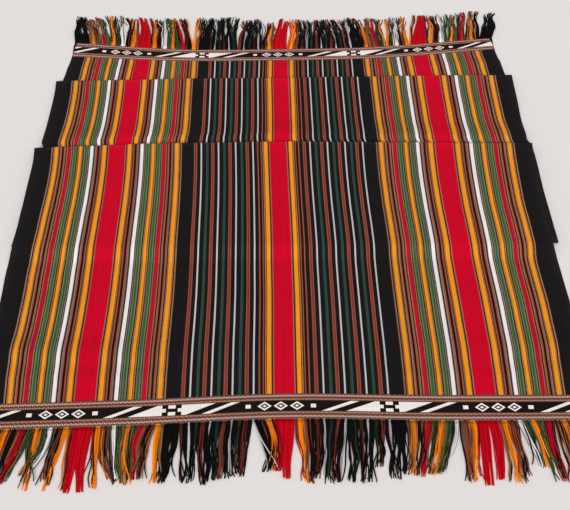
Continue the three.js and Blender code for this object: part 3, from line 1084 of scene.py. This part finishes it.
def lock_yarns(lock, sweep, fringe, look, chance):
    """Yarns of one lock, from the heading to their tips on the floor."""
    count = max(2, round((lock.stop - lock.start) * look.yarns_per_end))
    end = lock.start + (lock.stop - lock.start) * (np.arange(count) + 0.5) / count
    root = fringe.band_edge.moved(fringe.away * YARN_ROOT)
    x, y = place_across(root, 2.0 * end / WARP_ENDS - 1.0)
    strands = strands_of(lock, count, fringe, look)
    t = strands.t
    sideways, stray = lean_of_yarns(sweep, strands, look, chance)
    reach = reach_of_yarns(sweep, strands, chance)
    sway = sway_of_yarns(strands, look, chance)
    twist = chance.normal(0.0, LOCK_TWIST) * smooth(t)
    pile = pile_of_yarns(strands, look, chance)
    rise = rise_of_yarns(stray, strands, look, chance)
    radius = radius_of_yarns(strands, look, chance)
    late = smooth((t - DRAW_START) / (1.0 - DRAW_START))
    between = (x.mean() - sweep.middle) * (1.0 + (sweep.draw - 1.0) * late)
    inside = (x - x.mean())[:, None] * (1.0 + (sweep.lock_draw - 1.0) * late)
    path_x = sweep.middle + between + inside * np.cos(twist) - pile * np.sin(twist) + sideways + sway
    path_y = y[:, None] + fringe.away * reach * t
    path_z = ROOT_HEIGHT * (1.0 - smooth(t / ROOT_SINK)) + rise + pile
    path_z = np.maximum(path_z + TWIST_RISE * np.abs(inside * np.sin(twist)), radius)
    mixing = 0.0 if lock.yarn else look.mixing
    end = end + mixing * chance.standard_normal(strands.each[0])[strands.of_yarn]
    return Yarns(np.stack([path_x, path_y, path_z], -1), radius, np.clip(end, 0.0, WARP_ENDS - 1.0))


def fringe_yarns(fringe, look, chance):
    parts = []
    for tuft, locks in locks_of_tufts(fringe, look.lock_ends):
        sweep = sweep_of(tuft, locks, fringe, look, chance)
        parts.extend(lock_yarns(lock, sweep, fringe, look, chance) for lock in locks)
    return Yarns(*(np.concatenate(column) for column in zip(*parts)))


YARN_SIDES = 4


def yarn_tubes(yarns, away):
    """Points of closed tubes round the yarns and their faces, counted from the first point."""
    turn = 2.0 * np.pi * np.arange(YARN_SIDES) / YARN_SIDES
    round_it = np.stack([np.cos(turn), np.zeros(YARN_SIDES), -away * np.sin(turn)], -1)
    points = yarns.path[:, :, None, :] + yarns.radius[:, :, None, None] * round_it
    count, rings = yarns.path.shape[:2]
    ring = np.arange(rings - 1)[:, None] * YARN_SIDES
    side = np.arange(YARN_SIDES)[None, :]
    after = (side + 1) % YARN_SIDES
    wall = np.stack([ring + side, ring + after, ring + YARN_SIDES + after, ring + YARN_SIDES + side], -1)
    caps = np.array([side[0][::-1], side[0] + (rings - 1) * YARN_SIDES])
    one = np.concatenate([wall.reshape(-1, 4), caps])
    first = np.arange(count)[:, None, None] * rings * YARN_SIDES
    return points.reshape(-1, 3), (one[None] + first).reshape(-1, 4)


# Shares of the bake map: the heading and how far it fills its part, the rim of a cell, and a yarn's caps
HEADING_MAP_SHARE = 0.06
HEADING_MAP_FILL = 0.9
CELL_RIM = 0.06
CAP_ON_MAP = (0.3, 0.04)
FACE_CORNERS = ((0, 0), (1, 0), (1, 1), (0, 1))


def yarn_maps(count, steps):
    """Places of the tubes' corners on the map of one cell for each yarn, and round and along each yarn."""
    side, step = np.meshgrid(np.arange(YARN_SIDES), np.arange(steps))
    wall = [np.stack([(side + a) / YARN_SIDES, (step + b) / steps], -1) for a, b in FACE_CORNERS]
    cap = np.array(FACE_CORNERS) * CAP_ON_MAP
    one = np.concatenate([np.stack(wall, -2).reshape(-1, 4, 2), [cap, cap + (0.0, 1.0 - CAP_ON_MAP[1])]])
    cells = math.ceil(math.sqrt(count))
    corner = np.stack(np.divmod(np.arange(count), cells)[::-1], -1)[:, None, None, :]
    placed = (corner + CELL_RIM + (1.0 - 2.0 * CELL_RIM) * one[None]) / cells
    placed[..., 1] = HEADING_MAP_SHARE + (1.0 - HEADING_MAP_SHARE) * placed[..., 1]
    return placed.reshape(-1, 2), np.broadcast_to(one, (count, *one.shape)).reshape(-1, 2)


class Heading(NamedTuple):
    """The mesh of a heading, the bake map of its corners, and the warp end and way along of its points."""

    points: np.ndarray
    faces: np.ndarray
    bake_map: np.ndarray
    warp: np.ndarray
    along: np.ndarray


def heading_sheet(fringe, thickness, columns):
    """The short woven strip between the cloth's end, under the band, and the loose warp."""
    across = np.linspace(-1.0, 1.0, columns + 1)
    inner = np.stack(place_across(fringe.end.moved(fringe.away * HEADING_GAP), across), -1)
    outer = np.stack(place_across(fringe.band_edge.moved(fringe.away * HEADING_PAST_BAND), across), -1)
    share = np.linspace(0.0, 1.0, HEADING_ROWS)[:, None]
    flat = inner + (outer - inner) * share[:, :, None]
    if fringe.away > 0:
        flat = flat[::-1]
    shape = flat.shape[:2]
    bottom = np.full(shape, CLOTH_HALF - thickness / 2)
    upper = np.dstack([flat, bottom + thickness])
    under = np.dstack([flat, bottom])
    faces, on_map = sheet_faces(*shape)
    ends = np.broadcast_to((across + 1.0) / 2.0, shape)
    along = np.broadcast_to(share, shape)
    places = np.stack([ends, along * HEADING_MAP_SHARE * HEADING_MAP_FILL], -1).reshape(-1, 2)
    return Heading(
        np.concatenate([upper.reshape(-1, 3), under.reshape(-1, 3)]),
        faces,
        places[on_map].reshape(-1, 2),
        twice(ends * WARP_ENDS),
        twice(along * HEADING_LENGTH),
    )


def build_fringe(fringe, look, cloth):
    chance = np.random.default_rng(fringe.seed)
    yarns = fringe_yarns(fringe, look, chance)
    tube_points, tube_faces = yarn_tubes(yarns, fringe.away)
    strip = heading_sheet(fringe, cloth.thickness, cloth.columns)
    count, rings = yarns.path.shape[:2]
    per_yarn = rings * YARN_SIDES
    dash_place = np.repeat(chance.uniform(0.0, DASH_STRETCH, count), per_yarn)
    made = mesh_object(
        fringe.name + "_warp",
        np.concatenate([strip.points, tube_points]),
        np.concatenate([strip.faces, tube_faces + len(strip.points)]),
        warp=np.concatenate([strip.warp, np.repeat(np.floor(yarns.end) + 0.5, per_yarn)]),
        along=np.concatenate([strip.along, dash_place]),
        wear=np.zeros(len(strip.points) + len(tube_points)),
    )
    bake_map, ply_map = yarn_maps(count, rings - 1)
    add_map(made, BAKE_MAP, np.concatenate([strip.bake_map, bake_map]))
    add_map(made, PLY_MAP, np.concatenate([np.zeros_like(strip.bake_map), ply_map]))
    made.data.materials.append(bpy.data.materials["woven_stripes"])
    made.data.materials.append(bpy.data.materials["loose_warp"])
    kind = np.repeat([0, 1], [len(strip.faces), len(tube_faces)])
    made.data.polygons.foreach_set("material_index", kind)
    return made


# Shader nodes


# Places of nodes in their editor
NODE_COLUMNS = 12
NODE_WAY = (190, -230)


def linear(shown):
    """A colour as it looks on a screen, as the light that a shader takes."""
    return (*Color(shown).from_srgb_to_scene_linear(), 1.0)


class Graph:
    """A node tree, with short calls that place a node and link or set its inputs."""

    def __init__(self, tree):
        self.tree = tree

    def feed(self, socket, value):
        if isinstance(value, bpy.types.NodeSocket):
            self.tree.links.new(value, socket)
        else:
            socket.default_value = value

    def node(self, kind, inputs=None, **options):
        made = self.tree.nodes.new(kind)
        row, column = divmod(len(self.tree.nodes), NODE_COLUMNS)
        made.location = (NODE_WAY[0] * column, NODE_WAY[1] * row)
        for key, value in options.items():
            setattr(made, key, value)
        for key, value in (inputs or {}).items():
            self.feed(made.inputs[key], value)
        return made

    def math(self, operation, *values):
        made = self.node("ShaderNodeMath", dict(enumerate(values)), operation=operation)
        return made.outputs[0]

    def times(self, a, b):
        return self.math("MULTIPLY", a, b)

    def over(self, a, b):
        return self.math("DIVIDE", a, b)

    def plus(self, a, b):
        return self.math("ADD", a, b)

    def minus(self, a, b):
        return self.math("SUBTRACT", a, b)

    def scaled(self, value, by, start):
        return self.math("MULTIPLY_ADD", value, by, start)

    def size(self, value):
        return self.math("ABSOLUTE", value)

    def above(self, value, limit):
        return self.math("GREATER_THAN", value, limit)

    def below(self, value, limit):
        return self.math("LESS_THAN", value, limit)

    def between(self, value, low, high):
        """1 where a value is between two others, else 0."""
        return self.times(self.above(value, low), self.below(value, high))

    def wave(self, turns):
        return self.math("SINE", self.times(turns, 2.0 * math.pi))

    def arch(self, share):
        """0 at 0 and 1, and 1 halfway."""
        return self.math("SINE", self.times(share, math.pi))

    def mix(self, share, first, second, blend="MIX"):
        made = self.node(
            "ShaderNodeMix", {0: share, 6: first, 7: second}, data_type="RGBA", blend_type=blend
        )
        return made.outputs[2]

    def shaded(self, dyed, lightness):
        return self.mix(1.0, dyed, lightness, "MULTIPLY")

    def choose(self, share, first, second):
        made = self.node("ShaderNodeMix", {0: share, 2: first, 3: second}, data_type="FLOAT")
        return made.outputs[0]

    def chance(self, value):
        """A random number for each value."""
        made = self.node("ShaderNodeTexWhiteNoise", {"W": value}, noise_dimensions="1D")
        return made.outputs["Value"]

    def noise(self, place, detail, scale=1.0):
        inputs = {"Vector": place, "Scale": scale, "Detail": detail}
        return self.node("ShaderNodeTexNoise", inputs).outputs["Fac"]

    def patches(self, across, along, rates, detail):
        """Soft patches over the cloth, with their rate for each end across and each metre along."""
        inputs = {0: self.times(across, rates[0]), 1: self.times(along, rates[1])}
        return self.noise(self.node("ShaderNodeCombineXYZ", inputs).outputs[0], detail)

    def attribute(self, name):
        return self.node("ShaderNodeAttribute", attribute_name=name).outputs["Fac"]

    def group(self, tree, **inputs):
        made = self.node("ShaderNodeGroup", node_tree=tree)
        for key, value in inputs.items():
            self.feed(made.inputs[key], value)
        return made.outputs


FLOAT = "NodeSocketFloat"
COLOUR = "NodeSocketColor"


def shader_group(name, inputs, outputs):
    """A new node group, with its graph, its inputs and the node that takes its outputs."""
    tree = bpy.data.node_groups.new(name, "ShaderNodeTree")
    for key, kind in inputs.items():
        tree.interface.new_socket(name=key, in_out="INPUT", socket_type=kind)
    for key, kind in outputs.items():
        tree.interface.new_socket(name=key, in_out="OUTPUT", socket_type=kind)
    graph = Graph(tree)
    given = graph.node("NodeGroupInput").outputs
    taken = graph.node("NodeGroupOutput").inputs
    return tree, graph, given, taken


# Flecked stripes: rate of the dashes from column to column, and lightness of dashes and columns
DASH_APART = 5.3
DASH_SWING = 0.8
DASH_LEAST = 0.25
COLUMN_SWING = 0.4
COLUMN_LEAST = 0.8

# Uneven dye: rates of the slow changes across and along, their share, the mean of all and the least light
STREAK_RATES = (0.8, 9.0)
STREAK_SLOW = 1.6
STREAK_MEAN = 1.3
STREAK_LEAST = 0.2

# Weave: share of the height that dips with the picks, and the painted shade in the dips with the painted
# light added on the raised tops
WEAVE_DIP = 0.3
PAINTED_DIP_SHADE = 0.82
PAINTED_TOP_LIGHT = 0.4

# Rubbed folds and edges: rates of the patches across and along, share of paleness, and its colour
RUB_RATES = (0.05, 40.0)
RUB_SHARE = 0.03
RUB_COLOUR = (0.72, 0.68, 0.66)

# Pattern of a band: repeats that keep places above 0, rows as shares of half the field, and lozenges
REPEATS_AHEAD = 100
CROSS_ROW = 0.34
DOT_ROW = 0.36
LOZENGES = 3
LOZENGE_STEEP = 1.15
LOZENGE_RING = (0.62, 1.0)
LOZENGE_EYE = 0.3

# Ribs of a band's white field: their length, painted shade between them and painted light on them, and
# height, and the height of the stitches
RIB = 0.0036
RIB_SHADE = 0.09
RIB_HEIGHT = 0.2
RIB_MIDDLE = 0.5
STITCH_HEIGHT = 0.8


def chart_colours(graph, chart, ends, yarns):
    """Colour of a chart at a number of ends from its start, and 1 where the stripe is flecked."""
    node = graph.node("ShaderNodeValToRGB", {0: graph.over(ends, ends_of(chart))})
    ramp = node.color_ramp
    ramp.interpolation = "CONSTANT"
    at = 0.0
    for i, (yarn, width) in enumerate(chart):
        stop = ramp.elements[0] if i == 0 else ramp.elements.new(at / ends_of(chart))
        flecked = 1.0 if yarn.endswith("fleck") else 0.0
        stop.color = (*linear(getattr(yarns, yarn))[:3], flecked)
        at += width
    ramp.elements.remove(ramp.elements[len(ramp.elements) - 1])
    return node.outputs["Color"], node.outputs["Alpha"]


def charted_colours(graph, across, yarns):
    """Colour of the charts at a place across the cloth, and 1 where the stripe is flecked."""
    left, right = (graph.size(graph.minus(across, at)) for at in SIDE_MIDDLES)
    from_side = graph.math("MINIMUM", left, right)
    from_centre = graph.size(graph.minus(across, MIDDLE_END))
    on_right = graph.above(across, MIDDLE_END)
    start = graph.scaled(on_right, NARROW_STARTS[1] - NARROW_STARTS[0], NARROW_STARTS[0])
    from_start = graph.minus(across, start)
    in_repeat = graph.math("FLOORED_MODULO", from_start, ends_of(NARROW_CHART))
    narrow, _ = chart_colours(graph, NARROW_CHART, in_repeat, yarns)
    side, side_fleck = chart_colours(graph, SIDE_CHART, from_side, yarns)
    centre, centre_fleck = chart_colours(graph, CENTRE_CHART, from_centre, yarns)
    in_narrow = graph.between(from_start, 0.0, NARROW_ENDS)
    in_side = graph.below(from_side, ends_of(SIDE_CHART))
    in_centre = graph.below(from_centre, ends_of(CENTRE_CHART))
    plain = graph.mix(in_narrow, linear(yarns.black), narrow)
    plain = graph.mix(in_centre, graph.mix(in_side, plain, side), centre)
    return plain, graph.scaled(in_centre, centre_fleck, graph.times(in_side, side_fleck))


def stripes_group(yarns, cloth):
    """Colour of the warp at a place across, in ends, and along, in metres."""
    tree, graph, given, taken = shader_group(
        "warp_stripes", {"Across": FLOAT, "Along": FLOAT}, {"Colour": COLOUR}
    )
    plain, flecked = charted_colours(graph, given["Across"], yarns)
    column = graph.math("FLOOR", graph.over(given["Across"], cloth.fleck_ends))
    odd = graph.math("FLOORED_MODULO", column, 2.0)
    dashes = graph.patches(column, given["Along"], (DASH_APART, 1.0 / cloth.dash), 1.0)
    light = graph.times(odd, graph.scaled(dashes, DASH_SWING, DASH_LEAST))
    tone = graph.scaled(graph.chance(column), COLUMN_SWING, COLUMN_LEAST)
    dashed = graph.mix(light, linear(yarns.fleck_ground), graph.shaded(plain, tone))
    graph.feed(taken["Colour"], graph.mix(flecked, plain, dashed))
    return tree


def streaks_group():
    """Uneven dye: each end a little lighter or darker, and slow changes along it."""
    tree, graph, given, taken = shader_group(
        "yarn_streaks", {"Colour": COLOUR, "Across": FLOAT, "Along": FLOAT, "Amount": FLOAT},
        {"Colour": COLOUR},
    )
    each = graph.chance(graph.math("FLOOR", given["Across"]))
    slow = graph.patches(given["Across"], given["Along"], STREAK_RATES, 3.0)
    both = graph.scaled(slow, STREAK_SLOW, each)
    change = graph.times(graph.minus(both, STREAK_MEAN), given["Amount"])
    lightness = graph.math("MAXIMUM", graph.plus(change, 1.0), STREAK_LEAST)
    graph.feed(taken["Colour"], graph.shaded(given["Colour"], lightness))
    return tree


def weave_group():
    """Rounded warp ends that dip under every second pick, with painted shade in the dips and painted light
    on top.
    """
    tree, graph, given, taken = shader_group(
        "warp_faced_weave", {"Across": FLOAT, "Along": FLOAT, "Pick": FLOAT},
        {"Height": FLOAT, "Shade": FLOAT},
    )
    across = given["Across"]
    ridge = graph.arch(graph.math("FRACT", across))
    turns = graph.over(given["Along"], given["Pick"])
    turns = graph.scaled(graph.math("FLOOR", across), 0.5, turns)
    bead = graph.math("COSINE", graph.times(turns, 2.0 * math.pi))
    height = graph.times(ridge, graph.scaled(bead, WEAVE_DIP, 1.0 - WEAVE_DIP))
    graph.feed(taken["Height"], height)
    graph.feed(taken["Shade"], graph.scaled(height, PAINTED_TOP_LIGHT, PAINTED_DIP_SHADE))
    return tree


def wear_group():
    """Folds and edges that are rubbed a little paler, in patches."""
    tree, graph, given, taken = shader_group(
        "rubbed_edges", {"Colour": COLOUR, "Wear": FLOAT, "Across": FLOAT, "Along": FLOAT},
        {"Colour": COLOUR},
    )
    patches = graph.patches(given["Across"], given["Along"], RUB_RATES, 3.0)
    share = graph.times(graph.times(given["Wear"], patches), RUB_SHARE)
    graph.feed(taken["Colour"], graph.mix(share, given["Colour"], linear(RUB_COLOUR)))
    return tree


def way_to_cross(graph, band, place):
    """Way to the next cross along the band, in metres."""
    turns = graph.over(place, band.repeat)
    share = graph.minus(graph.math("FRACT", graph.plus(turns, REPEATS_AHEAD + 0.5)), 0.5)
    return graph.size(graph.times(share, band.repeat))


def white_of_stripes(graph, band, along, up):
    """1 on the white fields round the crosses and on the slanted white lines beside them."""
    slanted = graph.minus(along, graph.times(up, band.slant))
    slant_way = way_to_cross(graph, band, slanted)
    field = graph.below(slant_way, band.white_half)
    white = graph.plus(field, graph.between(slant_way, band.black_stop, band.line_stop))
    way = way_to_cross(graph, band, along)
    middle_row = graph.below(graph.size(up), CROSS_ROW)
    middle_black = graph.below(way, band.cross_middle)
    outer_black = graph.between(way, band.cross_gap, band.cross_half)
    cross = graph.choose(middle_row, outer_black, middle_black)
    return graph.times(white, graph.minus(1.0, cross))


def white_of_lozenges(graph, band, along, up):
    """1 on the row of lozenges between two crosses, and on the dots at its ends."""
    way = way_to_cross(graph, band, along)
    dot = graph.between(way, band.dot_place - band.dot_half, band.dot_place + band.dot_half)
    dot = graph.times(dot, graph.below(graph.size(up), DOT_ROW))
    from_middle = graph.minus(band.repeat / 2, way)
    next_lozenge = graph.math("PINGPONG", from_middle, band.lozenge_pitch / 2)
    flat = graph.over(next_lozenge, band.lozenge_half)
    ring = graph.plus(flat, graph.times(graph.size(up), LOZENGE_STEEP))
    lozenge = graph.plus(graph.between(ring, *LOZENGE_RING), graph.below(ring, LOZENGE_EYE))
    in_row = graph.below(from_middle, band.lozenge_pitch * LOZENGES / 2)
    return graph.plus(graph.times(lozenge, in_row), dot)


def cord_colours(graph, band, along, from_edge, stitch):
    """Colour of the twined cords along the edge of a band, up to the dark line beside the field."""
    wave = graph.wave(graph.over(along, band.twine))
    waved = graph.scaled(wave, band.wave, from_edge)
    looks = []
    for cord in BAND_CORDS:
        yarn, second = (linear(getattr(band, name)) for name in (cord.yarn, cord.second))
        looks.append(graph.mix(graph.below(stitch, cord.second_share), yarn, second))
    shown = looks[0]
    for cord, look in zip(BAND_CORDS[1:], looks[1:]):
        shown = graph.mix(graph.above(waved, cord.start), shown, look)
    return graph.mix(graph.above(from_edge, BAND_CORDS[-1].stop), shown, linear(band.twine_dark))


def band_group(band):
    """Pattern of a band at a place along, in metres, and across, from 0 at the near edge to 1."""
    tree, graph, given, taken = shader_group(
        "band_pattern", {"Along": FLOAT, "Across": FLOAT}, {"Colour": COLOUR, "Height": FLOAT}
    )
    along, across = given["Along"], given["Across"]
    up = graph.over(graph.minus(across, 0.5), 0.5 - BAND_FIELD)
    stripes = white_of_stripes(graph, band, along, up)
    lozenges = white_of_lozenges(graph, band, along, up)
    white = graph.math("MINIMUM", graph.plus(stripes, lozenges), 1.0)
    rib = graph.wave(graph.over(along, RIB))
    # Painted shade between the ribs and painted light on them, in the white of the figure.
    figure = graph.shaded(linear(band.figure), graph.scaled(rib, RIB_SHADE, 1.0 - RIB_SHADE))
    pattern = graph.mix(white, linear(band.ground), figure)
    from_edge = graph.math("MINIMUM", across, graph.minus(1.0, across))
    stitches = graph.times(graph.over(along, band.twine), TURN_STITCHES)
    stitch = graph.math("FRACT", graph.scaled(across, STITCHES_ACROSS, stitches))
    cords = cord_colours(graph, band, along, from_edge, stitch)
    in_field = graph.above(from_edge, BAND_FIELD)
    graph.feed(taken["Colour"], graph.mix(in_field, cords, pattern))
    bead = graph.times(graph.arch(stitch), STITCH_HEIGHT)
    ribs = graph.scaled(rib, RIB_HEIGHT, RIB_MIDDLE)
    graph.feed(taken["Height"], graph.choose(in_field, bead, ribs))
    return tree


# Materials


def new_material(name):
    material = bpy.data.materials.new(name)
    material.use_nodes = True
    graph = Graph(material.node_tree)
    shader = material.node_tree.nodes["Principled BSDF"]
    return material, graph, shader


class Finish(NamedTuple):
    """A cotton finish: uneven dye, roughness and its change on top of the yarn, bump and sheen."""

    uneven: float
    roughness: float
    on_top: float
    bump: float
    bump_depth: float
    sheen: float


WOVEN_FINISH = Finish(0.14, 0.95, -0.12, 0.45, 0.0004, 0.0)
LOOSE_FINISH = Finish(0.6, 0.92, -0.15, 0.5, 0.0003, 0.01)
BAND_FINISH = Finish(0.12, 0.94, -0.1, 0.4, 0.0004, 0.0)
COTTON_SHINE = 0.06
SHEEN_ROUGHNESS = 0.5

# Loose yarn: deeper dye, length that its map stands for, turns of its plies, and the painted shade in the
# grooves between plies with the painted light on their tops
LOOSE_DEPTH = 1.22
LOOSE_LENGTH = 0.1
PLIES = 2.0
PAINTED_PLY_SHADE = 0.76
PAINTED_PLY_LIGHT = 0.40

# Band: picks across its width, their length, and their height beside that of the pattern
BAND_PICKS = 40.0
BAND_PICK = 0.0018
BAND_PICK_HEIGHT = 0.5

# Floor: size and light of its faint clouds, its finish, and its half width
CLOUD_SCALE = 1.4
CLOUD_LIGHT = 0.02
CLOUD_DARK = 0.99
FLOOR_ROUGHNESS = 0.9
FLOOR_SHINE = 0.1
FLOOR_REACH = 6.0
SENSOR_WIDTH = 36.0


def feed_cotton(graph, shader, finish, dyed, top, height):
    """Soft dull cotton: its colour, roughness, small relief and sheen."""
    graph.feed(shader.inputs["Base Color"], dyed)
    graph.feed(shader.inputs["Roughness"], graph.scaled(top, finish.on_top, finish.roughness))
    inputs = {"Strength": finish.bump, "Distance": finish.bump_depth, "Height": height}
    graph.feed(shader.inputs["Normal"], graph.node("ShaderNodeBump", inputs).outputs[0])
    shader.inputs["Specular IOR Level"].default_value = COTTON_SHINE
    shader.inputs["Sheen Weight"].default_value = finish.sheen
    shader.inputs["Sheen Roughness"].default_value = SHEEN_ROUGHNESS


def make_groups():
    look = settings()
    return {
        "stripes": stripes_group(look.yarns, look.cloth),
        "streaks": streaks_group(),
        "weave": weave_group(),
        "wear": wear_group(),
        "band": band_group(look.band),
    }


def striped_yarn(graph, groups, across, along, uneven):
    """Colour of the striped warp, with its uneven dye."""
    dyed = graph.group(groups["stripes"], Across=across, Along=along)["Colour"]
    return graph.group(groups["streaks"], Colour=dyed, Across=across, Along=along, Amount=uneven)["Colour"]


def make_woven_stripes(groups, cloth):
    _, graph, shader = new_material("woven_stripes")
    across, along, wear = (graph.attribute(name) for name in ("warp", "along", "wear"))
    dyed = striped_yarn(graph, groups, across, along, WOVEN_FINISH.uneven)
    weave = graph.group(groups["weave"], Across=across, Along=along, Pick=cloth.pick)
    # The weave's Shade paints shade into the dips and light onto the raised ends.
    dyed = graph.shaded(dyed, weave["Shade"])
    dyed = graph.group(groups["wear"], Colour=dyed, Wear=wear, Across=across, Along=along)["Colour"]
    feed_cotton(graph, shader, WOVEN_FINISH, dyed, weave["Height"], weave["Height"])


def make_loose_warp(groups, fringe):
    _, graph, shader = new_material("loose_warp")
    across, along = graph.attribute("warp"), graph.attribute("along")
    dyed = striped_yarn(graph, groups, across, along, LOOSE_FINISH.uneven)
    deep = graph.node("ShaderNodeGamma", {"Gamma": LOOSE_DEPTH, "Color": dyed}).outputs[0]
    on_yarn = graph.node("ShaderNodeUVMap", uv_map=PLY_MAP).outputs[0]
    ply = graph.node("ShaderNodeSeparateXYZ", {0: on_yarn}).outputs
    turns = graph.scaled(ply[1], LOOSE_LENGTH / fringe.ply, graph.times(ply[0], PLIES))
    strand = graph.arch(graph.math("FRACT", turns))
    # Painted shade in the grooves of the twist and painted light on the plies' tops.
    dyed = graph.shaded(deep, graph.scaled(strand, PAINTED_PLY_LIGHT, PAINTED_PLY_SHADE))
    feed_cotton(graph, shader, LOOSE_FINISH, dyed, strand, strand)


def make_worked_band(groups):
    _, graph, shader = new_material("worked_band")
    along, across = graph.attribute("band_along"), graph.attribute("band_across")
    pattern = graph.group(groups["band"], Along=along, Across=across)
    picks = graph.times(across, BAND_PICKS)
    dyed = graph.group(
        groups["streaks"], Colour=pattern["Colour"], Across=picks, Along=along, Amount=BAND_FINISH.uneven
    )["Colour"]
    weave = graph.group(groups["weave"], Across=picks, Along=along, Pick=BAND_PICK)
    height = graph.scaled(weave["Height"], BAND_PICK_HEIGHT, pattern["Height"])
    # The weave's Shade paints shade into the dips between picks and light onto their tops.
    dyed = graph.shaded(dyed, weave["Shade"])
    feed_cotton(graph, shader, BAND_FINISH, dyed, weave["Height"], height)


def make_pale_floor(stage):
    material, graph, shader = new_material("pale_floor")
    place = graph.node("ShaderNodeTexCoord").outputs["Object"]
    lightness = graph.scaled(graph.noise(place, 2.0, CLOUD_SCALE), CLOUD_LIGHT, CLOUD_DARK)
    graph.feed(shader.inputs["Base Color"], graph.shaded(linear(stage.floor), lightness))
    shader.inputs["Roughness"].default_value = FLOOR_ROUGHNESS
    shader.inputs["Specular IOR Level"].default_value = FLOOR_SHINE
    return material


# Stage


def lay_floor(stage):
    mesh = bpy.data.meshes.new("floor")
    corners = [(FLOOR_REACH * (2 * x - 1), FLOOR_REACH * (2 * y - 1), 0.0) for x, y in FACE_CORNERS]
    mesh.from_pydata(corners, [], [(0, 1, 2, 3)])
    mesh.materials.append(make_pale_floor(stage))
    floor = linked("floor", mesh)


def set_camera(stage):
    lens = bpy.data.cameras.new("camera")
    lens.lens = stage.lens
    lens.sensor_width = SENSOR_WIDTH
    camera = linked("camera", lens)
    shift = frame_shift()
    camera.location = (shift[0], shift[1] - stage.camera_back, stage.camera_height)
    camera.rotation_euler = (math.pi / 2 - stage.camera_drop, 0.0, 0.0)
    bpy.context.scene.camera = camera


def hang_window_light(stage):
    lamp = bpy.data.lights.new("window light", "SUN")
    lamp.energy = stage.window
    lamp.angle = stage.window_spread
    hung = linked("window light", lamp)
    hung.rotation_euler = (math.pi / 2 - stage.window_height, 0.0, stage.window_turn)


def light_all_round(stage):
    world = bpy.data.worlds.new("even light")
    world.use_nodes = True
    sky = world.node_tree.nodes["Background"]
    sky.inputs["Color"].default_value = (1.0, 1.0, 1.0, 1.0)
    sky.inputs["Strength"].default_value = stage.sky
    bpy.context.scene.world = world
    bpy.context.scene.view_settings.view_transform = "Standard"


# Operators


class WRAPPER_OT_set_stage(bpy.types.Operator):
    """Make the floor, the light and the camera"""

    bl_idname = "wrapper.set_stage"
    bl_label = "Set stage"

    def execute(self, context):
        stage = settings().stage
        lay_floor(stage)
        set_camera(stage)
        hang_window_light(stage)
        light_all_round(stage)
        return {"FINISHED"}


class WRAPPER_OT_mix_finishes(bpy.types.Operator):
    """Make the materials of the cloth, the bands and the fringes"""

    bl_idname = "wrapper.mix_finishes"
    bl_label = "Mix finishes"

    def execute(self, context):
        groups = make_groups()
        make_woven_stripes(groups, settings().cloth)
        make_loose_warp(groups, settings().fringe)
        make_worked_band(groups)
        return {"FINISHED"}


class WRAPPER_OT_fold_cloth(bpy.types.Operator):
    """Make the folded cloth"""

    bl_idname = "wrapper.fold_cloth"
    bl_label = "Fold cloth"

    def execute(self, context):
        cloth = settings().cloth
        made, flat_length = build_cloth(cloth)
        made.data.materials.append(bpy.data.materials["woven_stripes"])
        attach(made, BODY)
        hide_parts("cloth")
        made["flat_length"] = flat_length
        return {"FINISHED"}


class WRAPPER_OT_lay_bands(bpy.types.Operator):
    """Make the patterned bands across both ends"""

    bl_idname = "wrapper.lay_bands"
    bl_label = "Lay bands"

    def execute(self, context):
        bottom = CLOTH_HALF + settings().cloth.thickness / 2 + BAND_GAP
        for band in BANDS:
            made = build_band(band, settings().band, bottom)
            made.data.materials.append(bpy.data.materials["worked_band"])
            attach(made, BODY)
            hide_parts(band.name)
        return {"FINISHED"}


class WRAPPER_OT_comb_fringes(bpy.types.Operator):
    """Make the loose warp at both ends"""

    bl_idname = "wrapper.comb_fringes"
    bl_label = "Comb fringes"

    def execute(self, context):
        look = settings().fringe
        cloth = settings().cloth
        for fringe in FRINGES:
            made = build_fringe(fringe, look, cloth)
            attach(made, BODY)
            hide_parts(fringe.name)
        return {"FINISHED"}


class WRAPPER_PT_sidebar(bpy.types.Panel):
    """Settings and steps of the wrapper"""

    bl_idname = "WRAPPER_PT_sidebar"
    bl_label = "Folded wrapper"
    bl_space_type = "VIEW_3D"
    bl_region_type = "UI"
    bl_category = "Wrapper"

    def draw(self, context):
        look = settings()
        for title, part in (
            ("Stage", look.stage), ("Yarns", look.yarns), ("Cloth", look.cloth),
            ("Bands", look.band), ("Fringes", look.fringe),
        ):
            box = self.layout.box()
            box.label(text=title)
            for key in part.__annotations__:
                box.prop(part, key)
        for operator in OPERATORS:
            self.layout.operator(operator.bl_idname)


OPERATORS = (
    WRAPPER_OT_set_stage,
    WRAPPER_OT_mix_finishes,
    WRAPPER_OT_fold_cloth,
    WRAPPER_OT_lay_bands,
    WRAPPER_OT_comb_fringes,
)
CLASSES = (
    YarnColours, ClothSettings, BandSettings, FringeSettings, StageSettings, WrapperSettings,
    *OPERATORS, WRAPPER_PT_sidebar,
)


def register():
    for item in CLASSES:
        bpy.utils.register_class(item)
    bpy.types.Scene.folded_wrapper = bpy.props.PointerProperty(type=WrapperSettings)


def unregister():
    del bpy.types.Scene.folded_wrapper
    for item in reversed(CLASSES):
        bpy.utils.unregister_class(item)


def main():
    register()
    bpy.ops.wrapper.set_stage()
    bpy.ops.wrapper.mix_finishes()
    bpy.ops.wrapper.fold_cloth()
    bpy.ops.wrapper.lay_bands()
    bpy.ops.wrapper.comb_fringes()


if __name__ == "__main__":
    main()
